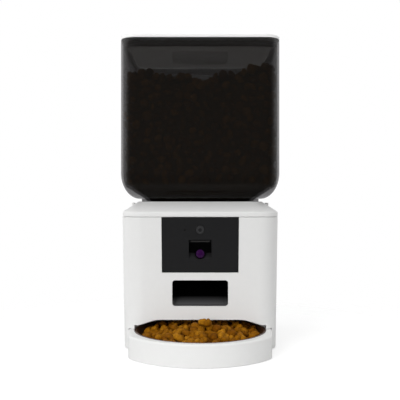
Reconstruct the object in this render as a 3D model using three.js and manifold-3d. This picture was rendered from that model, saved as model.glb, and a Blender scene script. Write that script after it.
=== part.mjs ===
// Pet feeder with camera: a smoky food hopper on a white base, with a camera panel, a food outlet and a dock
// for a round tray with a bowl. Millimetres, +Z up, the front faces -Y. The origin is on the table, at the
// middle of the whole footprint, tray included.
import * as THREE from 'three';
import { mergeVertices } from 'three/addons/utils/BufferGeometryUtils.js';
import Module from 'manifold-3d';

const wasm = await Module();
wasm.setup();

// Fits and facets shared by all pieces
const fitGap = 0.3;
const overrun = 5;
const cornerSteps = 6;
const roundSteps = 44;
const smallSteps = 16;
const filletSteps = 2;

// Base housing, tapered towards the table
const baseWidth = 188;
const baseDepth = 188;
const baseCornerRadius = 27;
const baseTaper = 2.35;
const baseWall = 2.6;
const baseUndersideZ = 1.2;
const baseEdgeRadius = 1;
const seamZ = 158.6;
const seamGap = 0.5;

// Shoulder cover: a short upright band, four slopes and the well for the hopper's neck
const shoulderBand = 5.45;
const shoulderBendRadius = 3;
const shoulderRise = 12.4;
const shoulderInset = 19;
const shoulderTopRadius = 13.4;
const coverWall = 2.3;
const coverRimWidth = 3;
const coverLipDepth = 4;
const coverLipWall = 2;
const wellDepth = 8.7;
const wellLedgeWidth = 6;
const collarDrop = 12.4;
const collarHeight = 4.6;

// Hopper
const hopperWidth = 190;
const hopperDepth = 190;
const hopperHeight = 189.5;
const hopperCornerRadius = 19;
const hopperWall = 2.5;
const hopperStandoff = 3.3;
const hopperRoundingRise = 31;
const hopperHeelWidth = 2.1;
const hopperRoundingSteps = 6;
const neckClearance = 0.6;
const neckSeatWidth = 5.7;
const hopperFloorRise = 13;
const hopperFloorInset = 8;
const funnelInset = 3;
const funnelDrop = 17;
const throatRadius = 51.5;
const throatWall = 2.5;
const throatHeight = 5.4;

// Lid and what hangs under it
const lidThickness = 3.9;
const lidEdgeRadius = 1.2;
const lidSkirtDepth = 10;
const lidSkirtWall = 2.4;
const lidSealRoom = 0.9;
const lidSealHeight = 4;
const lidSealDrop = 3;
const lidGrooveDepth = 1;
const desiccantWidth = 72;
const desiccantDepth = 46;
const desiccantHeight = 8;
const desiccantWall = 1.2;
const desiccantRadius = 6;
const desiccantSlots = 6;
const desiccantSlotWidth = 3;
const desiccantSlotMargin = 8;

// Dosing: pan, rotor with curved vanes, metering plate, stirrer and the hopper's throat seal
const panRadius = 58;
const panWall = 2.5;
const panDepth = 30.2;
const panFloor = 2.5;
const dropHoleInnerRadius = 24;
const dropHoleOuterRadius = 55;
const dropHoleHalfAngle = 28;
const vaneCount = 6;
const vaneThickness = 2.4;
const vaneTipGap = 1.5;
const vaneSweep = 16;
const vaneSteps = 6;
const vaneHubRadius = 9;
const vaneFloorGap = 0.7;
const vaneCeilingGap = 0.5;
const meteringThickness = 2;
const meteringInnerRadius = 13;
const meteringHalfAngle = 52;
const meteringBelowRim = 0.9;
const stirrerRadius = 11;
const stirrerFoot = 3;
const stirrerHeight = 13;
const stirrerArms = 3;
const stirrerReach = 34;
const stirrerArmRise = 13;
const stirrerArmWidth = 6;
const stirrerArmThickness = 4;
const throatSealHeight = 3;

// Drive: motor, pinion and gear under the pan
const gearModule = 1;
const rotorTeeth = 42;
const pinionTeeth = 14;
const gearPressureAngle = 20;
const gearBacklash = 0.3;
const gearRootClearance = 0.25;
const gearFlankSteps = 2;
const gearThickness = 6;
const gearBelowPan = 6.5;
const pinionOverhang = 0.6;
const gearHoles = 6;
const gearHoleRadius = 4;
const gearHoleCircle = 12.5;
const rotorShaftRadius = 3;
const motorShaftRadius = 2;
const bushWall = 2.4;
const bushFlangeWidth = 2.3;
const bushFlangeThickness = 1;
const bracketBelowPan = 17.2;
const bracketThickness = 2.5;
const bracketHalfWidth = 32;
const bracketFront = 17;
const bracketRearMargin = 17;
const bracketCornerRadius = 5;
const bracketPostX = 27;
const bracketPostFrontY = 12;
const bracketPostRearMargin = 12;
const bracketPostRadius = 3.5;
const bracketBossWall = 2.7;
const bracketBossHeight = 3;
const motorRadius = 12;
const motorEdgeRadius = 1.5;
const gearheadRadius = 14;
const gearheadHeight = 14;
const motorHeight = 46;
const motorShaftDepth = 8;

// Chute: slants from the pan's drop hole to the outlet in the front wall
const outletWidth = 65.7;
const outletHeight = 30.4;
const outletBottomZ = 53.8;
const outletCornerRadius = 3.5;
const sleeveWall = 1.2;
const chuteWall = 2;
const chuteRecess = 0.4;
const sleeveLength = 3.2;
const chuteMouthMargin = 1.7;
const chuteMouthRadius = 1.5;
const chuteMouthRearMargin = 3;
const sensorThickness = 4;
const sensorLength = 7;
const sensorHeight = 8;
const sensorAboveOutletFloor = 14;

// Camera panel with its sloping recess
const panelHeight = 65.15;
const panelTopWidth = 91.3;
const panelBottomWidth = 90.2;
const panelGap = 0.25;
const panelFlangeWidth = 3;
const panelFlangeThickness = 1.6;
const recessWidth = 26.9;
const recessHeight = 22.1;
const recessBelowTop = 26.65;
const recessRampHeight = 6.6;
const recessDepth = 6;
const podWall = 1.5;
const lensBelowRecessTop = 16.4;
const barrelRadius = 6;
const barrelReach = 5.2;
const lensRadius = 5;
const lensSeatDepth = 1.2;
const lensCrown = 1.6;
const cameraBodySize = 15;
const cameraBodyDepth = 9.5;
const windowThickness = 1;
const windowBelowTop = 3.4;
const lightWidth = 24.4;
const lightHeight = 1.8;
const lightReach = 3.2;
const lightBelowTop = 0.9;
const buttonBelowTop = 14.95;
const buttonRadius = 4.7;
const buttonProud = 0.4;
const buttonEdgeRadius = 0.4;
const buttonFlangeWidth = 1.2;
const buttonFlangeThickness = 1.2;
const buttonStemRadius = 2.2;
const buttonTravel = 0.8;
const buttonDishRadius = 1.6;
const buttonDishDepth = 0.35;
const switchSize = 6;
const switchDepth = 1.7;
const switchPlungerRadius = 1.7;
const switchPlungerLength = 0.5;
const boardThickness = 1.2;
const cameraBoardWidth = 26;
const cameraBoardMargin = 3;
const microphoneOffset = 17.8;
const microphoneHoleRadius = 0.9;
const microphoneRadius = 3;
const microphoneLength = 2.6;

// Tray, bowl and the dock that the tray slides into
const trayRadius = 84.3;
const trayHeight = 25.8;
const trayWall = 2.5;
const trayFloor = 2.6;
const trayFootRadius = 4;
const trayFootWidth = 2.3;
const trayEdgeRadius = 2.2;
const trayFlatRadius = 61;
const bowlRimRadius = 77.3;
const bowlRimThickness = 1.8;
const bowlSeatWidth = 2.1;
const bowlWall = 1.5;
const bowlFloorRadius = 58;
const bowlShoulderRadius = 66.5;
const bowlShoulderRise = 4.4;
const bowlFootGap = 2;
const dockClearance = 1;
const dockWall = 2;
const dockHeadroom = 11.8;
const dockArchFlat = 115;
const dockArchRadius = 43;
const dockToBatteryBox = 5.7;

// Base plate, feet, screws and the battery bay
const plateLift = 0.3;
const plateThickness = 3.5;
const footRadius = 6.5;
const footThickness = 1.2;
const footChamfer = 0.3;
const footSideInset = 15;
const footToTray = 8.4;
const footRearInset = 18;
const screwHeadRadius = 3;
const screwHeadHeight = 1.4;
const screwShankRadius = 1.4;
const screwLength = 16;
const screwRecessDepth = 1.7;
const bossRadius = 5.5;
const bossFusion = 1;
const bossHeight = 25;
const sideBossBehindDock = 7.7;
const rearBossInset = 28;
const batteryBayWidth = 104;
const batteryBayLength = 64;
const batteryBayHeight = 36;
const batteryBayRearInset = 22;
const batteryWall = 2;
const batteryRibs = 2;
const batteryRibHeight = 6;
const batteryRibWidth = 2;
const doorOverlap = 2.6;
const doorSideGap = 0.4;
const doorThickness = 1.7;
const doorRecessDepth = 2.1;
const doorTravel = 8;
const doorGrooves = 3;
const doorGrooveLength = 30;
const doorGrooveWidth = 1.2;
const doorGrooveDepth = 0.6;
const doorGroovePitch = 4;

// Electronics in the rear of the base
const mainBoardSideInset = 34;
const mainBoardToSpeaker = 10;
const mainBoardHeight = 56;
const mainBoardBottomZ = 62;
const boardBossRadius = 3;
const boardBossLength = 4;
const boardBossInset = 6;
const chipSize = 14;
const chipHeight = 1.8;
const connectorWidth = 12;
const connectorHeight = 7;
const connectorDepth = 5;
const speakerSideInset = 46;
const speakerZ = 86;
const speakerRadius = 18;
const speakerRimHeight = 3;
const speakerMagnetRadius = 9;
const speakerMagnetHeight = 6;
const grilleSlots = 7;
const grilleSlotWidth = 24;
const grilleSlotHeight = 2;
const grillePitch = 4.4;
const jackSideInset = 44;
const jackZ = 24;
const jackWidth = 11;
const jackHeight = 12;
const jackDepth = 11;
const jackNoseRadius = 4.6;
const jackBoreRadius = 3.2;
const jackBoreDepth = 9;
const jackPinRadius = 1;
const jackPinRecess = 1;

// Release latches on the two side shoulders
const latchTabInset = 6.6;
const latchTabThickness = 3.1;
const latchTabWidth = 14;
const latchTabBelowHopper = 5;
const latchTravel = 1.8;
const latchBodyWidth = 18;
const latchBodyHeight = 4.6;
const latchTabOverlap = 0.9;
const latchNoseHeight = 1.1;
const latchNoseWidth = 10;
const latchNoseAboveLedge = 0.9;
const latchRiserThickness = 1.7;
const latchShelfThickness = 2.2;
const latchShelfWidth = 24;
const latchSlotMargin = 0.5;
const latchPocketDepth = 1.5;

// Heights and places that follow from the sizes above
const batteryBayRearY = baseDepth / 2 - batteryBayRearInset;
const batteryBayFrontY = batteryBayRearY - batteryBayLength;
const dockRadius = trayRadius + dockClearance;
const dockRearY = batteryBayFrontY - batteryWall - dockToBatteryBox - dockWall;
const trayY = dockRearY - dockRadius;
const bodyFront = trayRadius - trayY;
const bodyRear = Math.max(hopperDepth, baseDepth) / 2;
const bodyY = (bodyFront - bodyRear) / 2;
const shellTopZ = seamZ - seamGap / 2;
const coverBottomZ = seamZ + seamGap / 2;
const slopeFootZ = coverBottomZ + shoulderBand;
const shoulderTopZ = slopeFootZ + shoulderRise;
const slopeShare = shoulderRise / shoulderInset;
const wellInset = shoulderInset + coverRimWidth;
const ledgeZ = shoulderTopZ - wellDepth;
const collarTopZ = ledgeZ - collarDrop;
const collarBottomZ = collarTopZ - collarHeight;
const baseCornerShare = (baseCornerRadius - shoulderTopRadius) / shoulderInset;
const coverLipInset = baseWall + fitGap;
const coverInnerInset = coverLipInset + coverLipWall;
const neckHalfX = baseWidth / 2 - wellInset - neckClearance;
const neckInset = hopperWidth / 2 - neckHalfX;
const neckRadius = baseCornerRadius - wellInset * baseCornerShare - neckClearance;
const hopperCornerShare = (hopperCornerRadius - neckRadius) / neckInset;
const hopperBottomZ = shoulderTopZ + hopperStandoff;
const hopperTopZ = hopperBottomZ + hopperHeight;
const neckBottomZ = ledgeZ + fitGap;
const throatTopZ = hopperBottomZ - funnelDrop;
const throatBottomZ = collarTopZ - throatSealHeight;
const throatOuterRadius = throatRadius + throatWall;
const lidUndersideZ = hopperTopZ + fitGap;
const lidTopZ = lidUndersideZ + lidThickness;
const panRimZ = collarBottomZ - fitGap;
const panFloorZ = panRimZ - panDepth;
const panUndersideZ = panFloorZ - panFloor;
const meteringTopZ = panRimZ - meteringBelowRim;
const meteringBottomZ = meteringTopZ - meteringThickness;
const rotorBottomZ = panFloorZ + vaneFloorGap;
const rotorTopZ = meteringBottomZ - vaneCeilingGap;
const stirrerBottomZ = rotorTopZ + fitGap;
const shaftBoreRadius = rotorShaftRadius + fitGap;
const bushRadius = shaftBoreRadius + bushWall;
const gearTopZ = panUndersideZ - gearBelowPan;
const gearBottomZ = gearTopZ - gearThickness;
const gearDistance = gearModule * (rotorTeeth + pinionTeeth) / 2;
const bracketTopZ = panUndersideZ - bracketBelowPan;
const bracketBottomZ = bracketTopZ - bracketThickness;
const motorTopZ = bracketBottomZ - fitGap;
const panelTopZ = shellTopZ;
const panelBottomZ = panelTopZ - panelHeight;
const recessTopZ = panelTopZ - recessBelowTop;
const recessBottomZ = recessTopZ - recessHeight;
const recessRampTopZ = recessBottomZ + recessRampHeight;
const lensZ = recessTopZ - lensBelowRecessTop;
const buttonZ = panelTopZ - buttonBelowTop;
const recessFaceY = -baseHalfDepthAt(lensZ);
const recessBackY = recessFaceY + recessDepth;
const podBackY = recessBackY + podWall;
const cameraBodyBackY = podBackY + fitGap + cameraBodyDepth;
const cameraBoardY = cameraBodyBackY + fitGap;
const buttonFaceY = -baseHalfDepthAt(buttonZ);
const panelBackY = buttonFaceY + baseWall + panelGap + panelFlangeThickness;
const plungerTipY = cameraBoardY - fitGap - switchDepth - switchPlungerLength;
const plateUndersideZ = baseUndersideZ + plateLift;
const plateTopZ = plateUndersideZ + plateThickness;
const dockCeilingZ = trayHeight + dockHeadroom;
const dockTopZ = dockCeilingZ + dockWall;
const outletTopZ = outletBottomZ + outletHeight;
const sleeveFrontY = chuteRecess - baseHalfDepthAt(outletBottomZ);
const sleeveRearY = sleeveFrontY + sleeveLength;
const chuteTopZ = panUndersideZ - fitGap;
const batteryBayTopZ = plateTopZ + batteryBayHeight;
const speakerX = speakerSideInset - baseWidth / 2;
const jackX = baseWidth / 2 - jackSideInset;
const mainBoardLeftX = speakerX + speakerRadius + mainBoardToSpeaker;
const mainBoardWidth = baseWidth / 2 - mainBoardSideInset - mainBoardLeftX;
const mainBoardX = mainBoardLeftX + mainBoardWidth / 2;
const latchShelfTopZ = coverBottomZ - fitGap;
const latchBottomZ = latchShelfTopZ + fitGap;
const latchTopZ = latchBottomZ + latchBodyHeight + fitGap;

// Half sizes of the tapered base at a height, and of its walls inside
function baseLean(z) {
  return z < seamZ ? baseTaper * (1 - z / seamZ) : 0;
}

function baseHalfWidthAt(z) {
  return baseWidth / 2 - baseLean(z);
}

function baseHalfDepthAt(z) {
  return baseDepth / 2 - baseLean(z);
}

// A ring of points round a rounded rectangle, the same count whatever its size, so that rings can be skinned
function roundedRing(halfX, halfY, cornerRadius, z) {
  const radius = Math.min(cornerRadius, halfX, halfY);
  const ring = [];
  for (let corner = 0; corner < 4; corner++) {
    const centreX = (corner === 0 || corner === 3 ? 1 : -1) * (halfX - radius);
    const centreY = (corner < 2 ? 1 : -1) * (halfY - radius);
    for (let step = 0; step <= cornerSteps; step++) {
      const angle = (corner + step / cornerSteps) * Math.PI / 2;
      const x = centreX + radius * Math.cos(angle);
      const y = centreY + radius * Math.sin(angle);
      ring.push(new THREE.Vector3(x, y, z));
    }
  }
  return ring;
}

function circleRing(radius, z) {
  return roundedRing(radius, radius, radius, z);
}

function baseRing(inset, z) {
  const radius = baseCornerRadius - inset * baseCornerShare;
  return roundedRing(baseHalfWidthAt(z) - inset, baseHalfDepthAt(z) - inset, radius, z);
}

// The hopper's plan narrows to the neck, which keeps the same clearance in the well on all four sides
function hopperRing(inset, z) {
  const radius = hopperCornerRadius - inset * hopperCornerShare;
  const depthInset = inset * (hopperDepth / 2 - neckHalfY()) / neckInset;
  return roundedRing(hopperWidth / 2 - inset, hopperDepth / 2 - depthInset, radius, z);
}

function neckHalfY() {
  return baseDepth / 2 - wellInset - neckClearance;
}

// Skins rings of points: closed on itself as a tube with a wall, or capped at both ends
function skinned(rings, closed) {
  const count = rings[0].length;
  const positions = [];
  for (const ring of rings) {
    for (const point of ring) {
      positions.push(point.x, point.y, point.z);
    }
  }
  const faces = [];
  const spans = closed ? rings.length : rings.length - 1;
  for (let i = 0; i < spans; i++) {
    const start = i * count;
    const next = ((i + 1) % rings.length) * count;
    for (let k = 0; k < count; k++) {
      const m = (k + 1) % count;
      faces.push(start + k, start + m, next + m);
      faces.push(start + k, next + m, next + k);
    }
  }
  if (!closed) {
    capRing(rings[0], 0, positions, faces, true);
    capRing(rings[rings.length - 1], (rings.length - 1) * count, positions, faces, false);
  }
  const geometry = new THREE.BufferGeometry();
  geometry.setAttribute('position', new THREE.Float32BufferAttribute(positions, 3));
  geometry.setIndex(faces);
  return solidFrom(geometry);
}

function capRing(ring, start, positions, faces, reversed) {
  const centre = new THREE.Vector3();
  for (const point of ring) {
    centre.addScaledVector(point, 1 / ring.length);
  }
  const hub = positions.length / 3;
  positions.push(centre.x, centre.y, centre.z);
  for (let k = 0; k < ring.length; k++) {
    const m = (k + 1) % ring.length;
    faces.push(hub, start + (reversed ? m : k), start + (reversed ? k : m));
  }
}

// A closed mesh as a solid: shared vertices merged, slivers dropped and the faces turned outwards
function solidFrom(geometry) {
  const bare = geometry.index ? geometry.toNonIndexed() : geometry.clone();
  for (const name of Object.keys(bare.attributes)) {
    if (name !== 'position') {
      bare.deleteAttribute(name);
    }
  }
  const merged = mergeVertices(bare);
  const vertProperties = merged.attributes.position.array;
  const index = merged.index.array;
  const faces = [];
  let volume = 0;
  const corners = [new THREE.Vector3(), new THREE.Vector3(), new THREE.Vector3()];
  for (let i = 0; i < index.length; i += 3) {
    const [a, b, c] = [index[i], index[i + 1], index[i + 2]];
    if (a === b || b === c || c === a) {
      continue;
    }
    faces.push(a, b, c);
    corners.forEach((corner, k) => corner.fromArray(vertProperties, index[i + k] * 3));
    volume += corners[0].dot(corners[1].cross(corners[2]));
  }
  const triVerts = new Uint32Array(volume < 0 ? faces.reverse() : faces);
  return new wasm.Manifold(new wasm.Mesh({ numProp: 3, vertProperties, triVerts }));
}

function meshFrom(name, solid, material) {
  const { vertProperties, triVerts } = solid.getMesh();
  const geometry = new THREE.BufferGeometry();
  geometry.setAttribute('position', new THREE.BufferAttribute(vertProperties, 3));
  geometry.setIndex(new THREE.BufferAttribute(triVerts, 1));
  geometry.computeVertexNormals();
  const mesh = new THREE.Mesh(geometry, material);
  mesh.name = name;
  return mesh;
}

function joined(...solids) {
  return solids.reduce((all, solid) => all.add(solid));
}

function cutBy(solid, ...tools) {
  return tools.reduce((left, tool) => left.subtract(tool), solid);
}

// A box by its limits on each axis
function box(x0, x1, y0, y1, z0, z1) {
  const geometry = new THREE.BoxGeometry(x1 - x0, y1 - y0, z1 - z0);
  geometry.translate((x0 + x1) / 2, (y0 + y1) / 2, (z0 + z1) / 2);
  return solidFrom(geometry);
}

// An upright cylinder between two heights
function upright(radius, x, y, z0, z1, steps = smallSteps) {
  const geometry = new THREE.CylinderGeometry(radius, radius, z1 - z0, steps);
  geometry.rotateX(Math.PI / 2);
  geometry.translate(x, y, (z0 + z1) / 2);
  return solidFrom(geometry);
}

// A cylinder that points front to back between two depths
function level(radius, x, z, y0, y1, steps = smallSteps) {
  const geometry = new THREE.CylinderGeometry(radius, radius, y1 - y0, steps);
  geometry.translate(x, (y0 + y1) / 2, z);
  return solidFrom(geometry);
}

// Revolves a profile of [radius, height] round the upright axis; it ends on the axis or closes on itself
function turnedGeometry(profile, steps) {
  const first = profile[0];
  const last = profile[profile.length - 1];
  const onAxis = first[0] === 0 && last[0] === 0;
  const outline = onAxis ? profile : [...profile, first];
  const geometry = new THREE.LatheGeometry(outline.map(([r, h]) => new THREE.Vector2(r, h)), steps);
  geometry.rotateX(Math.PI / 2);
  return geometry;
}

function turned(profile, steps = roundSteps) {
  return solidFrom(turnedGeometry(profile, steps));
}

// Revolves a profile of [radius, distance forwards] round a level axis that points to the front
function turnedForward(profile, x, y, z, steps = smallSteps) {
  const geometry = turnedGeometry(profile, steps);
  geometry.rotateX(Math.PI / 2);
  geometry.translate(x, y, z);
  return solidFrom(geometry);
}

function shapeOf(points, holes = []) {
  const shape = new THREE.Shape(points.map(([u, v]) => new THREE.Vector2(u, v)));
  shape.holes = holes.map((hole) => new THREE.Path(hole.map(([u, v]) => new THREE.Vector2(u, v))));
  return shape;
}

// Prisms of a plan outline upwards, of a side outline across, and of a front outline to the back
function prismUp(points, z0, z1, holes = []) {
  const geometry = new THREE.ExtrudeGeometry(shapeOf(points, holes), { depth: z1 - z0, bevelEnabled: false });
  geometry.translate(0, 0, z0);
  return solidFrom(geometry);
}

function prismAcross(points, x0, x1) {
  const geometry = new THREE.ExtrudeGeometry(shapeOf(points), { depth: x1 - x0, bevelEnabled: false });
  const turn = new THREE.Matrix4().makeBasis(
    new THREE.Vector3(0, 1, 0),
    new THREE.Vector3(0, 0, 1),
    new THREE.Vector3(1, 0, 0),
  );
  geometry.applyMatrix4(turn);
  geometry.translate(x0, 0, 0);
  return solidFrom(geometry);
}

function prismBack(points, y0, y1) {
  const geometry = new THREE.ExtrudeGeometry(shapeOf(points), { depth: y1 - y0, bevelEnabled: false });
  const turn = new THREE.Matrix4().makeBasis(
    new THREE.Vector3(1, 0, 0),
    new THREE.Vector3(0, 0, 1),
    new THREE.Vector3(0, -1, 0),
  );
  geometry.applyMatrix4(turn);
  geometry.translate(0, y1, 0);
  return solidFrom(geometry);
}

function arcPoints(centreX, centreY, radius, from, to, steps) {
  const points = [];
  for (let step = 0; step <= steps; step++) {
    const angle = from + (to - from) * step / steps;
    points.push([centreX + radius * Math.cos(angle), centreY + radius * Math.sin(angle)]);
  }
  return points;
}

function circlePoints(radius, x, y, steps = smallSteps) {
  return arcPoints(x, y, radius, 0, 2 * Math.PI, steps).slice(0, steps);
}

function roundedRectangle(halfU, halfV, radius, u, v) {
  return roundedRing(halfU, halfV, radius, 0).map((point) => [point.x + u, point.y + v]);
}

// A sector of a ring, centred on the front
function frontSector(innerRadius, outerRadius, halfAngleDegrees, steps) {
  const half = THREE.MathUtils.degToRad(halfAngleDegrees);
  const front = -Math.PI / 2;
  const outer = arcPoints(0, 0, outerRadius, front - half, front + half, steps);
  const inner = arcPoints(0, 0, innerRadius, front + half, front - half, steps);
  return [...outer, ...inner];
}

// Rounds the corners of a profile: a point may carry a third value, its corner radius
function filleted(profile) {
  const out = [];
  profile.forEach((point, i) => {
    const radius = point[2] || 0;
    if (radius === 0 || i === 0 || i === profile.length - 1) {
      out.push([point[0], point[1]]);
      return;
    }
    const corner = new THREE.Vector2(point[0], point[1]);
    const before = new THREE.Vector2(...profile[i - 1].slice(0, 2)).sub(corner).normalize();
    const after = new THREE.Vector2(...profile[i + 1].slice(0, 2)).sub(corner).normalize();
    const half = Math.acos(THREE.MathUtils.clamp(before.dot(after), -1, 1)) / 2;
    const reach = radius / Math.tan(half);
    const centre = before.clone().add(after).normalize().multiplyScalar(radius / Math.sin(half)).add(corner);
    const start = corner.clone().addScaledVector(before, reach).sub(centre);
    const end = corner.clone().addScaledVector(after, reach).sub(centre);
    const sweep = Math.atan2(start.cross(end), start.dot(end));
    for (let step = 0; step <= filletSteps; step++) {
      const spoke = start.clone().rotateAround(new THREE.Vector2(), sweep * step / filletSteps).add(centre);
      out.push([spoke.x, spoke.y]);
    }
  });
  return out;
}

// Materials
const whitePlastic = plastic(0xe6e6e6, 0.45);
const smokyPlastic = new THREE.MeshStandardMaterial({
  color: 0x2c2a2a,
  roughness: 0.15,
  transparent: true,
  opacity: 0.75,
});
const frostedPlastic = new THREE.MeshStandardMaterial({
  color: 0xe2e4e2,
  roughness: 0.5,
  transparent: true,
  opacity: 0.35,
});
const blackPlastic = plastic(0x232323, 0.5);
const darkPlastic = plastic(0x38383a, 0.55);
const bowlPlastic = plastic(0x2b2724, 0.35);
const acetal = plastic(0xd9d6cc, 0.5);
const silicone = plastic(0x8a8d90, 0.8);
const rubber = plastic(0x2a2a2a, 0.9);
const blackGlass = plastic(0x050505, 0.05);
const lensGlass = plastic(0x2f0e38, 0.05);
const lightPipe = plastic(0x5a5a58, 0.4);
const circuitBoard = plastic(0x1f5136, 0.5);
const motorSteel = metal(0x9a9ca0, 0.35);
const shaftSteel = metal(0xb9bbbd, 0.25);

function plastic(color, roughness) {
  return new THREE.MeshStandardMaterial({ color, roughness, metalness: 0 });
}

function metal(color, roughness) {
  return new THREE.MeshStandardMaterial({ color, roughness, metalness: 1 });
}

// Lid, its seal and the desiccant box
function lidSolid() {
  const skirtInset = hopperWall + lidSealRoom;
  const innerInset = skirtInset + lidSkirtWall;
  const skirtBottomZ = lidUndersideZ - lidSkirtDepth;
  const grooveTopZ = lidUndersideZ - lidSealDrop;
  const grooveBottomZ = grooveTopZ - lidSealHeight;
  const profile = filleted([
    [innerInset, lidUndersideZ],
    [innerInset, skirtBottomZ],
    [skirtInset, skirtBottomZ],
    [skirtInset, grooveBottomZ],
    [skirtInset + lidGrooveDepth, grooveBottomZ],
    [skirtInset + lidGrooveDepth, grooveTopZ],
    [skirtInset, grooveTopZ],
    [skirtInset, lidUndersideZ],
    [0, lidUndersideZ],
    [0, lidTopZ, lidEdgeRadius],
    [lidEdgeRadius * 2, lidTopZ],
  ]);
  return skinned(profile.map(([inset, z]) => hopperRing(inset, z)), false);
}

function lidSealSolid() {
  const outerInset = hopperWall + fitGap;
  const innerInset = hopperWall + lidSealRoom + lidGrooveDepth - fitGap;
  const topZ = lidUndersideZ - lidSealDrop - fitGap;
  const bottomZ = topZ - lidSealHeight + 2 * fitGap;
  const lipZ = (topZ + bottomZ) / 2;
  const profile = [
    [innerInset, bottomZ],
    [innerInset, topZ],
    [outerInset + lidSealRoom / 2, topZ],
    [outerInset, lipZ],
    [outerInset + lidSealRoom / 2, bottomZ],
  ];
  return skinned(profile.map(([inset, z]) => hopperRing(inset, z)), true);
}

function desiccantBoxSolid() {
  const topZ = lidUndersideZ - fitGap;
  const bottomZ = topZ - desiccantHeight;
  const halfX = desiccantWidth / 2;
  const halfY = desiccantDepth / 2;
  const innerRadius = desiccantRadius - desiccantWall;
  const cup = skinned([
    roundedRing(halfX, halfY, desiccantRadius, bottomZ),
    roundedRing(halfX, halfY, desiccantRadius, topZ),
    roundedRing(halfX - desiccantWall, halfY - desiccantWall, innerRadius, topZ),
    roundedRing(halfX - desiccantWall, halfY - desiccantWall, innerRadius, bottomZ + desiccantWall),
  ], false);
  const slotHalfY = halfY - desiccantSlotMargin;
  const slotPitch = (desiccantWidth - 2 * desiccantSlotMargin) / (desiccantSlots - 1);
  const slots = [];
  for (let i = 0; i < desiccantSlots; i++) {
    const x = (i - (desiccantSlots - 1) / 2) * slotPitch;
    const half = desiccantSlotWidth / 2;
    slots.push(box(x - half, x + half, -slotHalfY, slotHalfY, bottomZ - overrun, bottomZ + 2 * desiccantWall));
  }
  return cutBy(cup, ...slots);
}

// Hopper: straight sides, an elliptical rounding down to the neck, and a funnel inside to the round throat
function hopperSolid() {
  const rings = [];
  rings.push(circleRing(throatOuterRadius, throatBottomZ));
  rings.push(circleRing(throatOuterRadius, throatBottomZ + throatHeight));
  rings.push(hopperRing(neckInset + neckSeatWidth, neckBottomZ));
  rings.push(hopperRing(neckInset, neckBottomZ));
  rings.push(hopperRing(neckInset, hopperBottomZ));
  for (let step = 0; step <= hopperRoundingSteps; step++) {
    const angle = step / hopperRoundingSteps * Math.PI / 2;
    const inset = (neckInset - hopperHeelWidth) * (1 - Math.sin(angle));
    rings.push(hopperRing(inset, hopperBottomZ + hopperRoundingRise * (1 - Math.cos(angle))));
  }
  rings.push(hopperRing(0, hopperTopZ));
  rings.push(hopperRing(hopperWall, hopperTopZ));
  const insideSteps = hopperRoundingSteps / 2;
  for (let step = 0; step <= insideSteps; step++) {
    const angle = step / insideSteps * Math.PI / 2;
    const inset = hopperWall + (hopperFloorInset - hopperWall) * (1 - Math.cos(angle));
    const rise = hopperRoundingRise - (hopperRoundingRise - hopperFloorRise) * Math.sin(angle);
    rings.push(hopperRing(inset, hopperBottomZ + rise));
  }
  rings.push(hopperRing(neckInset + funnelInset, hopperBottomZ + neckClearance));
  rings.push(circleRing(throatRadius, throatTopZ));
  rings.push(circleRing(throatRadius, throatBottomZ));
  const pockets = [-1, 1].map((side) => latchPocket(side));
  return cutBy(skinned(rings, true), ...pockets);
}

// The pocket in the neck that a latch's nose faces
function latchPocket(side) {
  const innerX = neckHalfX - latchPocketDepth;
  const half = latchNoseWidth / 2 + fitGap;
  const z0 = ledgeZ + latchNoseAboveLedge - fitGap;
  const z1 = ledgeZ + latchNoseAboveLedge + latchNoseHeight + fitGap;
  const limits = [side * innerX, side * (neckHalfX + overrun)].sort((a, b) => a - b);
  return box(limits[0], limits[1], -half, half, z0, z1);
}

// Shoulder cover, with slots for the latch tabs, windows for their noses and shelves that carry them
function topCoverSolid() {
  const slopeDrop = coverWall * Math.hypot(1, slopeShare);
  const underside = (inset) => slopeFootZ + inset * slopeShare - slopeDrop;
  const outline = filleted([
    [0, coverBottomZ],
    [0, slopeFootZ, shoulderBendRadius],
    [shoulderInset, shoulderTopZ],
    [wellInset, shoulderTopZ],
    [wellInset, ledgeZ],
    [wellInset + wellLedgeWidth, ledgeZ],
  ]);
  const collarOuterRadius = panRadius + panWall;
  const rings = outline.map(([inset, z]) => baseRing(inset, z));
  rings.push(circleRing(panRadius, collarTopZ));
  rings.push(circleRing(panRadius, collarBottomZ));
  rings.push(circleRing(collarOuterRadius, collarBottomZ));
  rings.push(circleRing(collarOuterRadius, collarTopZ - coverWall));
  rings.push(baseRing(wellInset + wellLedgeWidth, ledgeZ - coverWall));
  rings.push(baseRing(wellInset - coverWall, ledgeZ - coverWall));
  rings.push(baseRing(wellInset - coverWall, underside(wellInset - coverWall)));
  rings.push(baseRing(coverInnerInset, underside(coverInnerInset)));
  rings.push(baseRing(coverInnerInset, coverBottomZ - coverLipDepth));
  rings.push(baseRing(coverLipInset, coverBottomZ - coverLipDepth));
  rings.push(baseRing(coverLipInset, coverBottomZ));
  let cover = skinned(rings, true);
  for (const side of [-1, 1]) {
    cover = cutBy(cover.add(latchShelf(side)), latchSlot(side), latchWindow(side));
  }
  return cover;
}

function sided(side, x0, x1, y0, y1, z0, z1) {
  return side > 0 ? box(x0, x1, y0, y1, z0, z1) : box(-x1, -x0, y0, y1, z0, z1);
}

function latchShelf(side) {
  const innerX = panRadius + panWall;
  const outerX = baseWidth / 2 - coverLipInset - coverLipWall / 2;
  const half = latchShelfWidth / 2;
  return sided(side, innerX, outerX, -half, half, latchShelfTopZ - latchShelfThickness, latchShelfTopZ);
}

function latchSlot(side) {
  const centreX = baseWidth / 2 - latchTabInset;
  const innerX = centreX - latchTabThickness / 2 - latchSlotMargin;
  const outerX = centreX + latchTabThickness / 2 + latchTravel + latchSlotMargin;
  const half = latchTabWidth / 2 + latchSlotMargin;
  return sided(side, innerX, outerX, -half, half, latchTopZ - fitGap, shoulderTopZ + overrun);
}

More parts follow.
